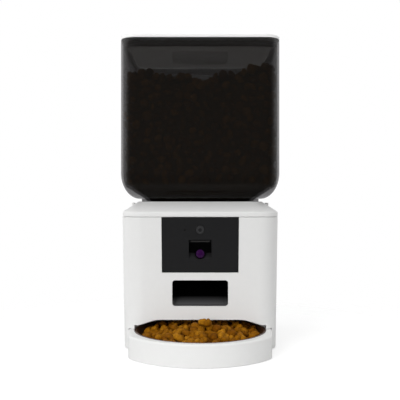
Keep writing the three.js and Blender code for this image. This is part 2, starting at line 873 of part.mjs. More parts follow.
function latchWindow(side) {
  const wallX = baseWidth / 2 - wellInset;
  const half = latchNoseWidth / 2 + fitGap;
  const z0 = ledgeZ + latchNoseAboveLedge - fitGap;
  const z1 = ledgeZ + latchNoseAboveLedge + latchNoseHeight + fitGap;
  return sided(side, wallX - coverRimWidth, wallX + coverWall + fitGap, -half, half, z0, z1);
}

// A release latch: body on its shelf, finger tab through the slope, riser and nose towards the neck
function latchSolid(side) {
  const tabX = baseWidth / 2 - latchTabInset;
  const tabInnerX = tabX - latchTabThickness / 2;
  const bodyOuterX = tabInnerX + latchTabOverlap;
  const bodyHalf = latchBodyWidth / 2;
  const riserX = baseWidth / 2 - wellInset + coverWall + fitGap;
  const body = sided(side, riserX, bodyOuterX, -bodyHalf, bodyHalf, latchBottomZ,
    latchBottomZ + latchBodyHeight);
  const neckOfTab = sided(side, tabInnerX, bodyOuterX, -latchTabWidth / 2, latchTabWidth / 2, latchBottomZ,
    latchTopZ + latchTabThickness);
  const tab = sided(side, tabInnerX, tabX + latchTabThickness / 2, -latchTabWidth / 2, latchTabWidth / 2,
    latchTopZ, hopperBottomZ - latchTabBelowHopper);
  const noseTopZ = ledgeZ + latchNoseAboveLedge + latchNoseHeight;
  const noseHalf = latchNoseWidth / 2;
  const riser = sided(side, riserX, riserX + latchRiserThickness, -noseHalf, noseHalf, latchBottomZ, noseTopZ);
  const nose = sided(side, neckHalfX + fitGap, riserX + latchRiserThickness, -noseHalf, noseHalf,
    noseTopZ - latchNoseHeight, noseTopZ);
  return joined(body, neckOfTab, tab, riser, nose);
}

// Base shell: tapered walls, screw and board bosses, and cuts for the dock, outlet, panel, jack and speaker
function baseShellSolid() {
  const profile = [
    [baseEdgeRadius, baseUndersideZ],
    [0, baseUndersideZ + baseEdgeRadius],
    [0, shellTopZ],
    [baseWall, shellTopZ],
    [baseWall, baseUndersideZ],
  ];
  const walls = skinned(profile.map(([inset, z]) => baseRing(inset, z)), true);
  const bosses = screwPlaces().map(([x, y]) => upright(bossRadius, x, y, plateTopZ + fitGap, plateTopZ + bossHeight));
  const bores = screwPlaces().map(([x, y]) => {
    const topZ = plateUndersideZ + screwHeadHeight + screwLength + bossFusion;
    return upright(screwShankRadius + fitGap, x, y, plateUndersideZ, topZ);
  });
  const boardBosses = boardBossPlaces().map(([x, z]) => {
    return level(boardBossRadius, x, z, boardBossEndY(), rearInnerY(z) + bossFusion);
  });
  const dock = prismUp(dockPlan(dockRadius), -overrun, dockCeilingZ).intersect(dockMouth());
  return cutBy(joined(walls, ...bosses, ...boardBosses), ...bores, dock, outletCut(), panelNotch(), jackHole(),
    ...grilleCuts());
}

function rearInnerY(z) {
  return baseHalfDepthAt(z) - baseWall;
}

function screwPlaces() {
  const sideX = baseHalfWidthAt(plateTopZ) - baseWall - bossRadius + bossFusion;
  const rearY = baseHalfDepthAt(plateTopZ) - baseWall - bossRadius + bossFusion;
  const rearX = baseWidth / 2 - rearBossInset;
  const sideY = dockRearY + sideBossBehindDock;
  return [[-sideX, sideY], [sideX, sideY], [-rearX, rearY], [rearX, rearY]];
}

function boardBossPlaces() {
  const places = [];
  for (const side of [-1, 1]) {
    for (const z of [mainBoardBottomZ + boardBossInset, mainBoardBottomZ + mainBoardHeight - boardBossInset]) {
      places.push([mainBoardX + side * (mainBoardWidth / 2 - boardBossInset), z]);
    }
  }
  return places;
}

function boardBossEndY() {
  return rearInnerY(mainBoardBottomZ) - boardBossLength;
}

// The dock's plan: a half circle at the back that runs straight out to the front
function dockPlan(radius) {
  const frontY = Math.min(-baseDepth / 2, trayY) - overrun;
  return [...arcPoints(0, trayY, radius, 0, Math.PI, roundSteps / 2), [-radius, frontY], [radius, frontY]];
}

// The dock's mouth in the front wall: flat over the bowl, then a wide arc down to the tray's sides
function dockMouth() {
  const half = dockArchFlat / 2;
  const end = Math.acos((dockRadius - half) / dockArchRadius);
  const right = arcPoints(half, dockCeilingZ - dockArchRadius, dockArchRadius, end, Math.PI / 2, cornerSteps);
  const left = right.map(([x, z]) => [-x, z]).reverse();
  const outline = [[dockRadius, -overrun], ...right, ...left, [-dockRadius, -overrun]];
  return prismBack(outline, -baseDepth, baseDepth);
}

function outletCut() {
  const outline = roundedRectangle(outletWidth / 2, outletHeight / 2, outletCornerRadius, 0,
    outletBottomZ + outletHeight / 2);
  return prismBack(outline, -baseDepth / 2 - overrun, sleeveRearY);
}

function panelHalfWidthAt(z) {
  const share = (z - panelBottomZ) / panelHeight;
  return (panelBottomWidth + (panelTopWidth - panelBottomWidth) * share) / 2;
}

function panelOutline(gap, topZ) {
  const bottomZ = panelBottomZ + gap;
  const bottomHalf = panelHalfWidthAt(bottomZ) - gap;
  const topHalf = panelHalfWidthAt(topZ) - gap;
  return [[-bottomHalf, bottomZ], [bottomHalf, bottomZ], [topHalf, topZ], [-topHalf, topZ]];
}

function panelNotch() {
  return prismBack(panelOutline(0, panelTopZ + overrun), -baseDepth / 2 - overrun,
    -baseDepth / 2 + baseWall + baseTaper);
}

function jackHole() {
  return level(jackNoseRadius + fitGap, jackX, jackZ, rearInnerY(jackZ) - overrun, baseDepth / 2 + overrun);
}

function grilleCuts() {
  const cuts = [];
  for (let i = 0; i < grilleSlots; i++) {
    const z = speakerZ + (i - (grilleSlots - 1) / 2) * grillePitch;
    const halfX = grilleSlotWidth / 2;
    const halfZ = grilleSlotHeight / 2;
    cuts.push(box(speakerX - halfX, speakerX + halfX, rearInnerY(z) - bossFusion, baseDepth / 2 + overrun,
      z - halfZ, z + halfZ));
  }
  return cuts;
}

// Base plate: closes the housing from below and carries the dock's walls and ceiling over the tray
function basePlateSolid() {
  const inset = baseWall + fitGap;
  const slab = skinned([baseRing(inset, plateUndersideZ), baseRing(inset, plateTopZ)], false);
  const dockBlock = prismUp(dockPlan(dockRadius + dockWall), plateUndersideZ, dockTopZ);
  const inside = skinned([baseRing(inset, plateUndersideZ), baseRing(inset, dockTopZ)], false);
  const dock = prismUp(dockPlan(dockRadius), -overrun, dockCeilingZ);
  const bayHalf = batteryBayWidth / 2;
  const bay = box(-bayHalf, bayHalf, batteryBayFrontY, batteryBayRearY, -overrun, plateTopZ + overrun);
  const rim = doorOverlap + doorSideGap;
  const doorRecess = box(-bayHalf - rim, bayHalf + rim, batteryBayFrontY - rim,
    batteryBayRearY + rim + doorTravel, -overrun, plateUndersideZ + doorRecessDepth);
  const screwCuts = screwPlaces().flatMap(([x, y]) => [
    upright(screwShankRadius + fitGap, x, y, -overrun, plateTopZ + overrun),
    upright(screwHeadRadius + fitGap, x, y, -overrun, plateUndersideZ + screwRecessDepth),
  ]);
  return cutBy(slab.add(dockBlock).intersect(inside), dock, bay, doorRecess, ...screwCuts);
}

function baseScrewSolid(x, y) {
  const headZ = plateUndersideZ + screwRecessDepth - screwHeadHeight;
  const head = upright(screwHeadRadius, x, y, headZ - fitGap / 2, headZ + screwHeadHeight - fitGap / 2);
  const shank = upright(screwShankRadius, x, y, headZ, headZ + screwLength);
  return head.add(shank);
}

function footSolid(x, y) {
  const geometry = turnedGeometry([
    [0, 0],
    [footRadius - footChamfer, 0],
    [footRadius, footChamfer],
    [footRadius, footThickness],
    [0, footThickness],
  ], smallSteps);
  geometry.translate(x, y, 0);
  return solidFrom(geometry);
}

function batteryBoxSolid() {
  const halfX = batteryBayWidth / 2;
  const bottomZ = plateTopZ + fitGap;
  const outside = box(-halfX - batteryWall, halfX + batteryWall, batteryBayFrontY - batteryWall,
    batteryBayRearY + batteryWall, bottomZ, batteryBayTopZ + batteryWall);
  const bay = box(-halfX, halfX, batteryBayFrontY, batteryBayRearY, bottomZ - overrun, batteryBayTopZ);
  const ribs = [];
  for (let i = 1; i <= batteryRibs; i++) {
    const x = -halfX + batteryBayWidth * i / (batteryRibs + 1);
    ribs.push(box(x - batteryRibWidth / 2, x + batteryRibWidth / 2, batteryBayFrontY - batteryWall / 2,
      batteryBayRearY + batteryWall / 2, batteryBayTopZ - batteryRibHeight, batteryBayTopZ + batteryWall / 2));
  }
  return joined(cutBy(outside, bay), ...ribs);
}

function batteryDoorSolid() {
  const halfX = batteryBayWidth / 2 + doorOverlap;
  const topZ = plateUndersideZ + doorRecessDepth - fitGap;
  const bottomZ = topZ - doorThickness;
  const door = box(-halfX, halfX, batteryBayFrontY - doorOverlap, batteryBayRearY + doorOverlap, bottomZ, topZ);
  const grooves = [];
  for (let i = 0; i < doorGrooves; i++) {
    const y = batteryBayRearY - (i + 1) * doorGroovePitch;
    grooves.push(box(-doorGrooveLength / 2, doorGrooveLength / 2, y - doorGrooveWidth / 2,
      y + doorGrooveWidth / 2, bottomZ - overrun, bottomZ + doorGrooveDepth));
  }
  return cutBy(door, ...grooves);
}

// Rotor pan with its drop hole, and the plate that keeps food off the hole until a vane brings it
function rotorPanSolid() {
  const holeRadius = bushRadius + fitGap;
  const pan = turned([
    [holeRadius, panUndersideZ],
    [panRadius + panWall, panUndersideZ],
    [panRadius + panWall, panRimZ],
    [panRadius, panRimZ],
    [panRadius, panFloorZ],
    [holeRadius, panFloorZ],
  ]);
  const hole = frontSector(dropHoleInnerRadius, dropHoleOuterRadius, dropHoleHalfAngle, smallSteps / 4);
  return cutBy(pan, prismUp(hole, panUndersideZ - overrun, panFloorZ + overrun));
}

function meteringPlateSolid() {
  const sector = frontSector(meteringInnerRadius, panRadius - fitGap, meteringHalfAngle, smallSteps / 2);
  return prismUp(sector, meteringBottomZ, meteringTopZ);
}

// Rotor: a hub and vanes that sweep back as they run out, so that food is pushed, not pinched
function rotorVanesSolid() {
  const reach = panRadius - vaneTipGap;
  const sweep = THREE.MathUtils.degToRad(vaneSweep);
  const edge = (vane, side) => {
    const points = [];
    for (let step = 0; step <= vaneSteps; step++) {
      const share = step / vaneSteps;
      const radius = vaneHubRadius + (reach - vaneHubRadius) * share;
      const middle = 2 * Math.PI * vane / vaneCount + sweep * share * share;
      const angle = middle + side * Math.asin(vaneThickness / 2 / radius);
      points.push([radius * Math.cos(angle), radius * Math.sin(angle)]);
    }
    return points;
  };
  const outline = [];
  for (let vane = 0; vane < vaneCount; vane++) {
    outline.push(...edge(vane, -1), ...edge(vane, 1).reverse());
    const half = Math.asin(vaneThickness / 2 / vaneHubRadius);
    const from = 2 * Math.PI * vane / vaneCount + half;
    const to = 2 * Math.PI * (vane + 1) / vaneCount - half;
    outline.push(...arcPoints(0, 0, vaneHubRadius, from, to, vaneSteps).slice(1, -1));
  }
  return prismUp(outline, rotorBottomZ, rotorTopZ, [circlePoints(shaftBoreRadius, 0, 0)]);
}

function stirrerSolid() {
  const dome = [[0, stirrerBottomZ], [stirrerRadius, stirrerBottomZ]];
  for (let step = 0; step <= filletSteps * 2; step++) {
    const angle = step / (filletSteps * 2) * Math.PI / 2;
    const rise = stirrerFoot + (stirrerHeight - stirrerFoot) * Math.sin(angle);
    const radius = step === filletSteps * 2 ? 0 : stirrerRadius * Math.cos(angle);
    dome.push([radius, stirrerBottomZ + rise]);
  }
  const arms = [];
  for (let i = 0; i < stirrerArms; i++) {
    const geometry = new THREE.ExtrudeGeometry(shapeOf([
      [0, stirrerFoot],
      [stirrerReach, stirrerFoot + stirrerArmRise],
      [stirrerReach, stirrerFoot + stirrerArmRise + stirrerArmThickness / 2],
      [0, stirrerFoot + stirrerArmThickness],
    ]), { depth: stirrerArmWidth, bevelEnabled: false });
    geometry.translate(0, 0, -stirrerArmWidth / 2);
    geometry.rotateX(Math.PI / 2);
    geometry.rotateZ(2 * Math.PI * (i + 1 / 4) / stirrerArms);
    geometry.translate(0, 0, stirrerBottomZ);
    arms.push(solidFrom(geometry));
  }
  return joined(turned(dome, smallSteps), ...arms);
}

function throatSealSolid() {
  const inner = throatOuterRadius + fitGap;
  const outer = panRadius - 2 * fitGap;
  const bottomZ = collarTopZ - throatSealHeight;
  return turned([
    [inner, bottomZ],
    [outer, bottomZ],
    [outer, collarTopZ - fitGap],
    [(inner + outer) / 2, collarTopZ - fitGap],
    [inner, bottomZ + throatSealHeight / 2],
  ]);
}

// Involute gear outline: per tooth two flanks from the root to the tip, turned by a phase in radians
function gearOutline(teeth, phase) {
  const pitchRadius = gearModule * teeth / 2;
  const baseRadius = pitchRadius * Math.cos(THREE.MathUtils.degToRad(gearPressureAngle));
  const tipRadius = pitchRadius + gearModule;
  const rootRadius = pitchRadius - gearModule - gearRootClearance;
  const involute = (radius) => {
    const pressure = Math.acos(Math.min(baseRadius / radius, 1));
    return Math.tan(pressure) - pressure;
  };
  const pitchHalf = (Math.PI * gearModule / 2 - gearBacklash / 2) / (2 * pitchRadius);
  const startRadius = Math.max(baseRadius, rootRadius);
  const halfAngle = (radius) => pitchHalf + involute(pitchRadius) - involute(radius);
  const outline = [];
  for (let tooth = 0; tooth < teeth; tooth++) {
    const middle = phase + 2 * Math.PI * tooth / teeth;
    const flank = [[rootRadius, halfAngle(startRadius)]];
    for (let step = rootRadius < startRadius ? 0 : 1; step <= gearFlankSteps; step++) {
      const radius = startRadius + (tipRadius - startRadius) * step / gearFlankSteps;
      flank.push([radius, halfAngle(radius)]);
    }
    const rising = flank.map(([radius, half]) => [radius, middle - half]);
    const falling = flank.map(([radius, half]) => [radius, middle + half]).reverse();
    outline.push(...rising, ...falling);
  }
  return outline.map(([radius, angle]) => [radius * Math.cos(angle), radius * Math.sin(angle)]);
}

// The gear has a tooth, and the pinion a gap, on the line that joins their centres
function rotorGearSolid() {
  const holes = [circlePoints(shaftBoreRadius, 0, 0)];
  for (let i = 0; i < gearHoles; i++) {
    const angle = 2 * Math.PI * i / gearHoles;
    holes.push(circlePoints(gearHoleRadius, gearHoleCircle * Math.cos(angle), gearHoleCircle * Math.sin(angle),
      smallSteps / 2));
  }
  return prismUp(gearOutline(rotorTeeth, Math.PI / 2), gearBottomZ, gearTopZ, holes);
}

function drivePinionSolid() {
  const outline = gearOutline(pinionTeeth, -Math.PI / 2 + Math.PI / pinionTeeth);
  const bore = circlePoints(motorShaftRadius + fitGap, 0, 0);
  const pinion = new THREE.ExtrudeGeometry(shapeOf(outline, [bore]), {
    depth: gearThickness + 2 * pinionOverhang,
    bevelEnabled: false,
  });
  pinion.translate(0, gearDistance, gearBottomZ - pinionOverhang);
  return solidFrom(pinion);
}

function motorShaftSolid() {
  const bottomZ = motorTopZ - motorShaftDepth + fitGap;
  return upright(motorShaftRadius, 0, gearDistance, bottomZ, gearTopZ + pinionOverhang);
}

function gearMotorSolid() {
  const bottomZ = motorTopZ - motorHeight;
  const headZ = motorTopZ - gearheadHeight;
  const boreRadius = motorShaftRadius + fitGap;
  const geometry = turnedGeometry(filleted([
    [0, bottomZ],
    [motorRadius, bottomZ, motorEdgeRadius],
    [motorRadius, headZ],
    [gearheadRadius, headZ],
    [gearheadRadius, motorTopZ],
    [boreRadius, motorTopZ],
    [boreRadius, motorTopZ - motorShaftDepth],
    [0, motorTopZ - motorShaftDepth],
  ]), smallSteps);
  geometry.translate(0, gearDistance, 0);
  return solidFrom(geometry);
}

function rotorShaftSolid() {
  return upright(rotorShaftRadius, 0, 0, bracketTopZ + fitGap, rotorTopZ - vaneFloorGap);
}

function shaftBushSolid() {
  const flangeTopZ = panUndersideZ - fitGap;
  return turned([
    [shaftBoreRadius, flangeTopZ - bushFlangeThickness],
    [bushRadius + bushFlangeWidth, flangeTopZ - bushFlangeThickness],
    [bushRadius + bushFlangeWidth, flangeTopZ],
    [bushRadius, flangeTopZ],
    [bushRadius, panFloorZ],
    [shaftBoreRadius, panFloorZ],
  ], smallSteps);
}

function driveBracketSolid() {
  const rearY = gearDistance + bracketRearMargin;
  const outline = roundedRectangle(bracketHalfWidth, (rearY + bracketFront) / 2, bracketCornerRadius, 0,
    (rearY - bracketFront) / 2);
  const plate = prismUp(outline, bracketBottomZ, bracketTopZ);
  const posts = [];
  for (const x of [-bracketPostX, bracketPostX]) {
    for (const y of [-bracketPostFrontY, gearDistance + bracketPostRearMargin]) {
      posts.push(upright(bracketPostRadius, x, y, bracketBottomZ, panUndersideZ - fitGap));
    }
  }
  const boss = upright(shaftBoreRadius + bracketBossWall, 0, 0, bracketBottomZ, bracketTopZ + bracketBossHeight);
  const bearing = upright(shaftBoreRadius, 0, 0, bracketTopZ, bracketTopZ + bracketBossHeight + overrun);
  const shaftHole = upright(2 * motorShaftRadius, 0, gearDistance, bracketBottomZ - overrun, bracketTopZ + overrun);
  return cutBy(joined(plate, ...posts, boss), bearing, shaftHole);
}

// Chute: a duct lofted from the level mouth under the pan to the upright sleeve in the front wall
function chuteSolid() {
  const mouthHalfX = dropHoleOuterRadius * Math.sin(THREE.MathUtils.degToRad(dropHoleHalfAngle)) + chuteMouthMargin;
  const mouthFrontY = dropHoleOuterRadius + chuteMouthMargin;
  const dropRearY = dropHoleInnerRadius * Math.cos(THREE.MathUtils.degToRad(dropHoleHalfAngle));
  const mouthRearY = Math.min(dropRearY, dropHoleInnerRadius - chuteMouthRearMargin);
  const mouth = (wall) => {
    const halfY = (mouthFrontY - mouthRearY) / 2 + wall;
    const middleY = -(mouthFrontY + mouthRearY) / 2;
    const ring = roundedRing(mouthHalfX + wall, halfY, chuteMouthRadius + wall, chuteTopZ);
    return ring.map((point) => new THREE.Vector3(point.x, middleY + point.y, point.z));
  };
  const sleeve = (wall, y) => {
    const halfX = outletWidth / 2 - fitGap - wall;
    const halfZ = outletHeight / 2 - fitGap - wall;
    const ring = roundedRing(halfX, halfZ, outletCornerRadius - fitGap - wall, 0);
    return ring.map((point) => new THREE.Vector3(point.x, y, outletBottomZ + outletHeight / 2 - point.y));
  };
  return skinned([
    mouth(chuteWall),
    sleeve(0, sleeveRearY),
    sleeve(0, sleeveFrontY),
    sleeve(sleeveWall, sleeveFrontY),
    sleeve(sleeveWall, sleeveRearY),
    mouth(0),
  ], true);
}

function foodSensorSolid(side) {
  const innerX = outletWidth / 2;
  const frontY = sleeveRearY + fitGap;
  const z = outletBottomZ + sensorAboveOutletFloor;
  return sided(side, innerX, innerX + sensorThickness, frontY, frontY + sensorLength, z, z + sensorHeight);
}

// Camera panel: a leaning plate with a flange behind it and a pod that holds the sloping recess
function cameraPanelSolid() {
  const slab = (z0, z1, front, back) => [
    [front - baseHalfDepthAt(z0), z0],
    [back - baseHalfDepthAt(z0), z0],
    [back - baseHalfDepthAt(z1), z1],
    [front - baseHalfDepthAt(z1), z1],
  ];
  const halfWidth = panelTopWidth / 2;
  const flangeFront = baseWall + panelGap;
  const flangeTopZ = coverBottomZ - coverLipDepth - fitGap;
  const plate = (topZ, thickness) => {
    const leaning = prismAcross(slab(panelBottomZ, topZ, 0, thickness), -halfWidth, halfWidth);
    return leaning.intersect(prismBack(panelOutline(panelGap, topZ), -baseDepth, 0));
  };
  const flange = prismAcross(
    slab(panelBottomZ - panelFlangeWidth, flangeTopZ, flangeFront, flangeFront + panelFlangeThickness),
    -halfWidth - panelFlangeWidth, halfWidth + panelFlangeWidth);
  const podHalf = recessWidth / 2 + podWall;
  const pod = box(-podHalf, podHalf, recessFaceY + baseWall / 2, podBackY, recessBottomZ - podWall,
    recessTopZ + podWall);
  const rampShare = recessRampHeight / recessDepth;
  const recess = prismAcross([
    [recessFaceY - overrun, recessBottomZ - overrun * rampShare],
    [recessBackY, recessRampTopZ],
    [recessBackY, recessTopZ],
    [recessFaceY - overrun, recessTopZ],
  ], -recessWidth / 2, recessWidth / 2);
  const lensHole = level(barrelRadius + fitGap, 0, lensZ, recessFaceY - overrun, podBackY + overrun);
  const buttonHole = level(buttonRadius + fitGap, 0, buttonZ, buttonFaceY - overrun, panelBackY + overrun);
  const microphoneHole = level(microphoneHoleRadius, -microphoneOffset, buttonZ, buttonFaceY - overrun,
    panelBackY + overrun, smallSteps / 2);
  const panel = joined(plate(panelTopZ, baseWall), plate(flangeTopZ, flangeFront + panelGap), flange, pod);
  return cutBy(panel, recess, lensHole, buttonHole, microphoneHole);
}

function cameraWindowSolid() {
  const half = recessWidth / 2 - fitGap;
  const backY = recessBackY - fitGap;
  const pane = box(-half, half, backY - windowThickness, backY, recessRampTopZ + fitGap,
    recessTopZ - windowBelowTop);
  return cutBy(pane, level(barrelRadius + 2 * fitGap, 0, lensZ, recessFaceY, podBackY));
}

function statusLightSolid() {
  const backY = recessBackY - fitGap;
  const topZ = recessTopZ - lightBelowTop;
  return box(-lightWidth / 2, lightWidth / 2, backY - lightReach, backY, topZ - lightHeight, topZ);
}

function cameraModuleSolid() {
  const half = cameraBodySize / 2;
  const bodyFrontY = podBackY + fitGap;
  const barrelFrontY = recessBackY - barrelReach;
  const body = box(-half, half, bodyFrontY, cameraBodyBackY, lensZ - half, lensZ + half);
  const barrel = level(barrelRadius, 0, lensZ, barrelFrontY, bodyFrontY + fitGap);
  const seat = level(lensRadius + fitGap, 0, lensZ, barrelFrontY - overrun, barrelFrontY + lensSeatDepth);
  return cutBy(body.add(barrel), seat);
}

function cameraLensSolid() {
  const backY = recessBackY - barrelReach + lensSeatDepth - fitGap;
  const dome = [[0, 0], [lensRadius, 0]];
  const domeSteps = filletSteps + 1;
  for (let step = 0; step <= domeSteps; step++) {
    const angle = step / domeSteps * Math.PI / 2;
    const radius = step === domeSteps ? 0 : lensRadius * Math.cos(angle);
    dome.push([radius, lensSeatDepth - fitGap + lensCrown * Math.sin(angle)]);
  }
  return turnedForward(dome, 0, backY, lensZ);
}

function feedButtonSolid() {
  const flangeFrontY = panelBackY + fitGap;
  const flangeBackY = flangeFrontY + buttonFlangeThickness;
  const stemBackY = plungerTipY - buttonTravel - fitGap;
  const capLength = flangeBackY - buttonFaceY + buttonProud;
  const cap = turnedForward(filleted([
    [0, 0],
    [buttonRadius, 0],
    [buttonRadius, capLength, buttonEdgeRadius],
    [buttonDishRadius, capLength],
    [buttonDishRadius - buttonDishDepth, capLength - buttonDishDepth],
    [0, capLength - buttonDishDepth],
  ]), 0, flangeBackY, buttonZ);
  const flange = level(buttonRadius + buttonFlangeWidth, 0, buttonZ, flangeFrontY, flangeBackY);
  const stem = level(buttonStemRadius, 0, buttonZ, flangeFrontY, stemBackY);
  return joined(cap, flange, stem);
}

function buttonSwitchSolid() {
  const half = switchSize / 2;
  const backY = cameraBoardY - fitGap;
  const body = box(-half, half, backY - switchDepth, backY, buttonZ - half, buttonZ + half);
  const plunger = level(switchPlungerRadius, 0, buttonZ, plungerTipY, backY - switchDepth / 2);
  return body.add(plunger);
}

function cameraBoardSolid() {
  const bottomZ = lensZ - cameraBodySize / 2 - cameraBoardMargin;
  const topZ = buttonZ + switchSize / 2 + cameraBoardMargin;
  return box(-cameraBoardWidth / 2, cameraBoardWidth / 2, cameraBoardY, cameraBoardY + boardThickness, bottomZ,
    topZ);
}

function microphoneSolid() {
  const frontY = panelBackY + fitGap;
  return level(microphoneRadius, -microphoneOffset, buttonZ, frontY, frontY + microphoneLength);
}

// Main board with its chips and connectors, the speaker and the power inlet
function mainBoardSolid() {
  const backY = boardBossEndY() - fitGap;
  const frontY = backY - boardThickness;
  const x0 = mainBoardX - mainBoardWidth / 2;
  const topZ = mainBoardBottomZ + mainBoardHeight;
  const board = box(x0, x0 + mainBoardWidth, frontY, backY, mainBoardBottomZ, topZ);
  const chips = [1 / 4, 1 / 2].map((share) => {
    const x = x0 + mainBoardWidth * share;
    const z = mainBoardBottomZ + mainBoardHeight * share;
    return box(x, x + chipSize, frontY - chipHeight, frontY + chipHeight / 4, z, z + chipSize);
  });
  const connectors = [1 / 6, 1 / 2, 5 / 6].map((share) => {
    const x = x0 + mainBoardWidth * share;
    return box(x - connectorWidth / 2, x + connectorWidth / 2, frontY - connectorDepth, frontY + chipHeight / 4,
      mainBoardBottomZ + chipHeight, mainBoardBottomZ + connectorHeight);
  });
  return joined(board, ...chips, ...connectors);
}

function speakerSolid() {
  const rearY = rearInnerY(speakerZ - speakerRadius) - fitGap;
  const coneDepth = speakerRimHeight * 2;
  return turnedForward([
    [0, coneDepth / 2],
    [speakerMagnetRadius, coneDepth / 2],
    [speakerRadius - speakerRimHeight, 0],
    [speakerRadius, 0],
    [speakerRadius, speakerRimHeight],
    [speakerMagnetRadius, speakerRimHeight + coneDepth],
    [speakerMagnetRadius, speakerRimHeight + coneDepth + speakerMagnetHeight],
    [0, speakerRimHeight + coneDepth + speakerMagnetHeight],
  ], speakerX, rearY, speakerZ);
}

function dcJackSolid() {
  const bodyRearY = rearInnerY(jackZ - jackHeight / 2) - fitGap;
  const noseEndY = baseHalfDepthAt(jackZ) - fitGap;
  const body = box(jackX - jackWidth / 2, jackX + jackWidth / 2, bodyRearY - jackDepth, bodyRearY,
    jackZ - jackHeight / 2, jackZ + jackHeight / 2);
  const nose = level(jackNoseRadius, jackX, jackZ, bodyRearY - fitGap, noseEndY);
  const bore = level(jackBoreRadius, jackX, jackZ, noseEndY - jackBoreDepth, noseEndY + overrun);
  const pin = level(jackPinRadius, jackX, jackZ, noseEndY - jackBoreDepth - jackPinRadius,
    noseEndY - jackPinRecess, smallSteps / 2);
  return cutBy(body.add(nose), bore).add(pin);
}

// Tray: a deep round rim with a conical well for the bowl, hollow from below
function traySolid() {
  const seatZ = trayHeight - bowlRimThickness - fitGap;
  const wellTopRadius = bowlRimRadius - bowlSeatWidth + fitGap;
  const bowlFloorZ = trayFloor + bowlFootGap;
  const shoulderRadius = bowlShoulderRadius + 2 * fitGap;
  const shoulderZ = bowlFloorZ + bowlShoulderRise - trayWall / 3;
  const skirtRadius = trayRadius - trayWall;
  const footRadius0 = trayRadius - trayFootRadius - trayFootWidth;
  return turned(filleted([
    [0, 0],
    [trayFlatRadius, 0],
    [shoulderRadius + trayWall, shoulderZ - trayWall / 2],
    [wellTopRadius + trayWall, seatZ - trayWall],
    [wellTopRadius + trayWall, trayHeight - trayWall],
    [skirtRadius, trayHeight - trayWall],
    [skirtRadius, trayFootRadius + trayWall],
    [footRadius0, trayFootRadius],
    [footRadius0, 0],
    [trayRadius, 0, trayFootRadius],
    [trayRadius, trayHeight, trayEdgeRadius],
    [bowlRimRadius + fitGap, trayHeight],
    [bowlRimRadius + fitGap, seatZ],
    [wellTopRadius, seatZ],
    [shoulderRadius, shoulderZ],
    [bowlFloorRadius + fitGap, trayFloor],
    [0, trayFloor],
  ]));
}

function bowlSolid() {
  const rimBottomZ = trayHeight - bowlRimThickness;
  const floorZ = trayFloor + bowlFootGap;
  const shoulderZ = floorZ + bowlShoulderRise;
  const wallTopRadius = bowlRimRadius - bowlSeatWidth;
  return turned(filleted([
    [0, floorZ],
    [bowlFloorRadius, floorZ, bowlShoulderRise * 2],
    [bowlShoulderRadius, shoulderZ, bowlShoulderRise * 2],
    [wallTopRadius, rimBottomZ],
    [bowlRimRadius, rimBottomZ],
    [bowlRimRadius, trayHeight, bowlRimThickness / 3],
    [wallTopRadius - bowlWall / 2, trayHeight, bowlRimThickness],
    [bowlShoulderRadius - bowlWall, shoulderZ + bowlWall / 2, bowlShoulderRise * 2],
    [bowlFloorRadius - bowlWall / 2, floorZ + bowlWall, bowlShoulderRise * 2],
    [0, floorZ + bowlWall],
  ]));
}

// The assembly: everything but the tray stands on the housing's own axis, behind the tray
function assembled() {
  const housing = new THREE.Group();
  housing.position.set(0, bodyY, 0);
  const add = (name, solid, material) => housing.add(meshFrom(name, solid, material));
  add('base_shell', baseShellSolid(), whitePlastic);
  add('base_plate', basePlateSolid(), whitePlastic);
  add('top_cover', topCoverSolid(), whitePlastic);
  add('hopper', hopperSolid(), smokyPlastic);
  add('lid', lidSolid(), whitePlastic);
  add('lid_seal', lidSealSolid(), silicone);
  add('desiccant_box', desiccantBoxSolid(), frostedPlastic);
  add('throat_seal', throatSealSolid(), silicone);
  add('latch_left', latchSolid(-1), whitePlastic);
  add('latch_right', latchSolid(1), whitePlastic);
  add('rotor_pan', rotorPanSolid(), darkPlastic);
  add('metering_plate', meteringPlateSolid(), darkPlastic);
  add('rotor_vanes', rotorVanesSolid(), silicone);
  add('stirrer', stirrerSolid(), darkPlastic);
  add('rotor_shaft', rotorShaftSolid(), shaftSteel);
  add('shaft_bush', shaftBushSolid(), acetal);
  add('rotor_gear', rotorGearSolid(), acetal);
  add('drive_pinion', drivePinionSolid(), acetal);
  add('motor_shaft', motorShaftSolid(), shaftSteel);
  add('gear_motor', gearMotorSolid(), motorSteel);
  add('drive_bracket', driveBracketSolid(), darkPlastic);
  add('chute', chuteSolid(), darkPlastic);
  add('food_sensor_emitter', foodSensorSolid(-1), blackPlastic);
  add('food_sensor_receiver', foodSensorSolid(1), blackPlastic);
  add('camera_panel', cameraPanelSolid(), blackPlastic);
  add('camera_window', cameraWindowSolid(), blackGlass);
  add('status_light', statusLightSolid(), lightPipe);
  add('camera_module', cameraModuleSolid(), blackPlastic);
  add('camera_lens', cameraLensSolid(), lensGlass);
  add('camera_board', cameraBoardSolid(), circuitBoard);
  add('feed_button', feedButtonSolid(), blackPlastic);
  add('button_switch', buttonSwitchSolid(), motorSteel);
  add('microphone', microphoneSolid(), rubber);
  add('main_board', mainBoardSolid(), circuitBoard);
  add('speaker', speakerSolid(), blackPlastic);
  add('dc_jack', dcJackSolid(), blackPlastic);
  add('battery_box', batteryBoxSolid(), blackPlastic);
  add('battery_door', batteryDoorSolid(), whitePlastic);
  screwPlaces().forEach(([x, y], i) => add(`base_screw_${i + 1}`, baseScrewSolid(x, y), shaftSteel));
  footPlaces().forEach(([x, y], i) => add(`foot_${i + 1}`, footSolid(x, y), rubber));
  const dock = new THREE.Group();
  dock.position.set(0, trayY, 0);
  dock.add(meshFrom('tray', traySolid(), whitePlastic));
  dock.add(meshFrom('bowl', bowlSolid(), bowlPlastic));
  housing.add(dock);
  const feeder = new THREE.Group();
  feeder.add(housing);
  return feeder;
}

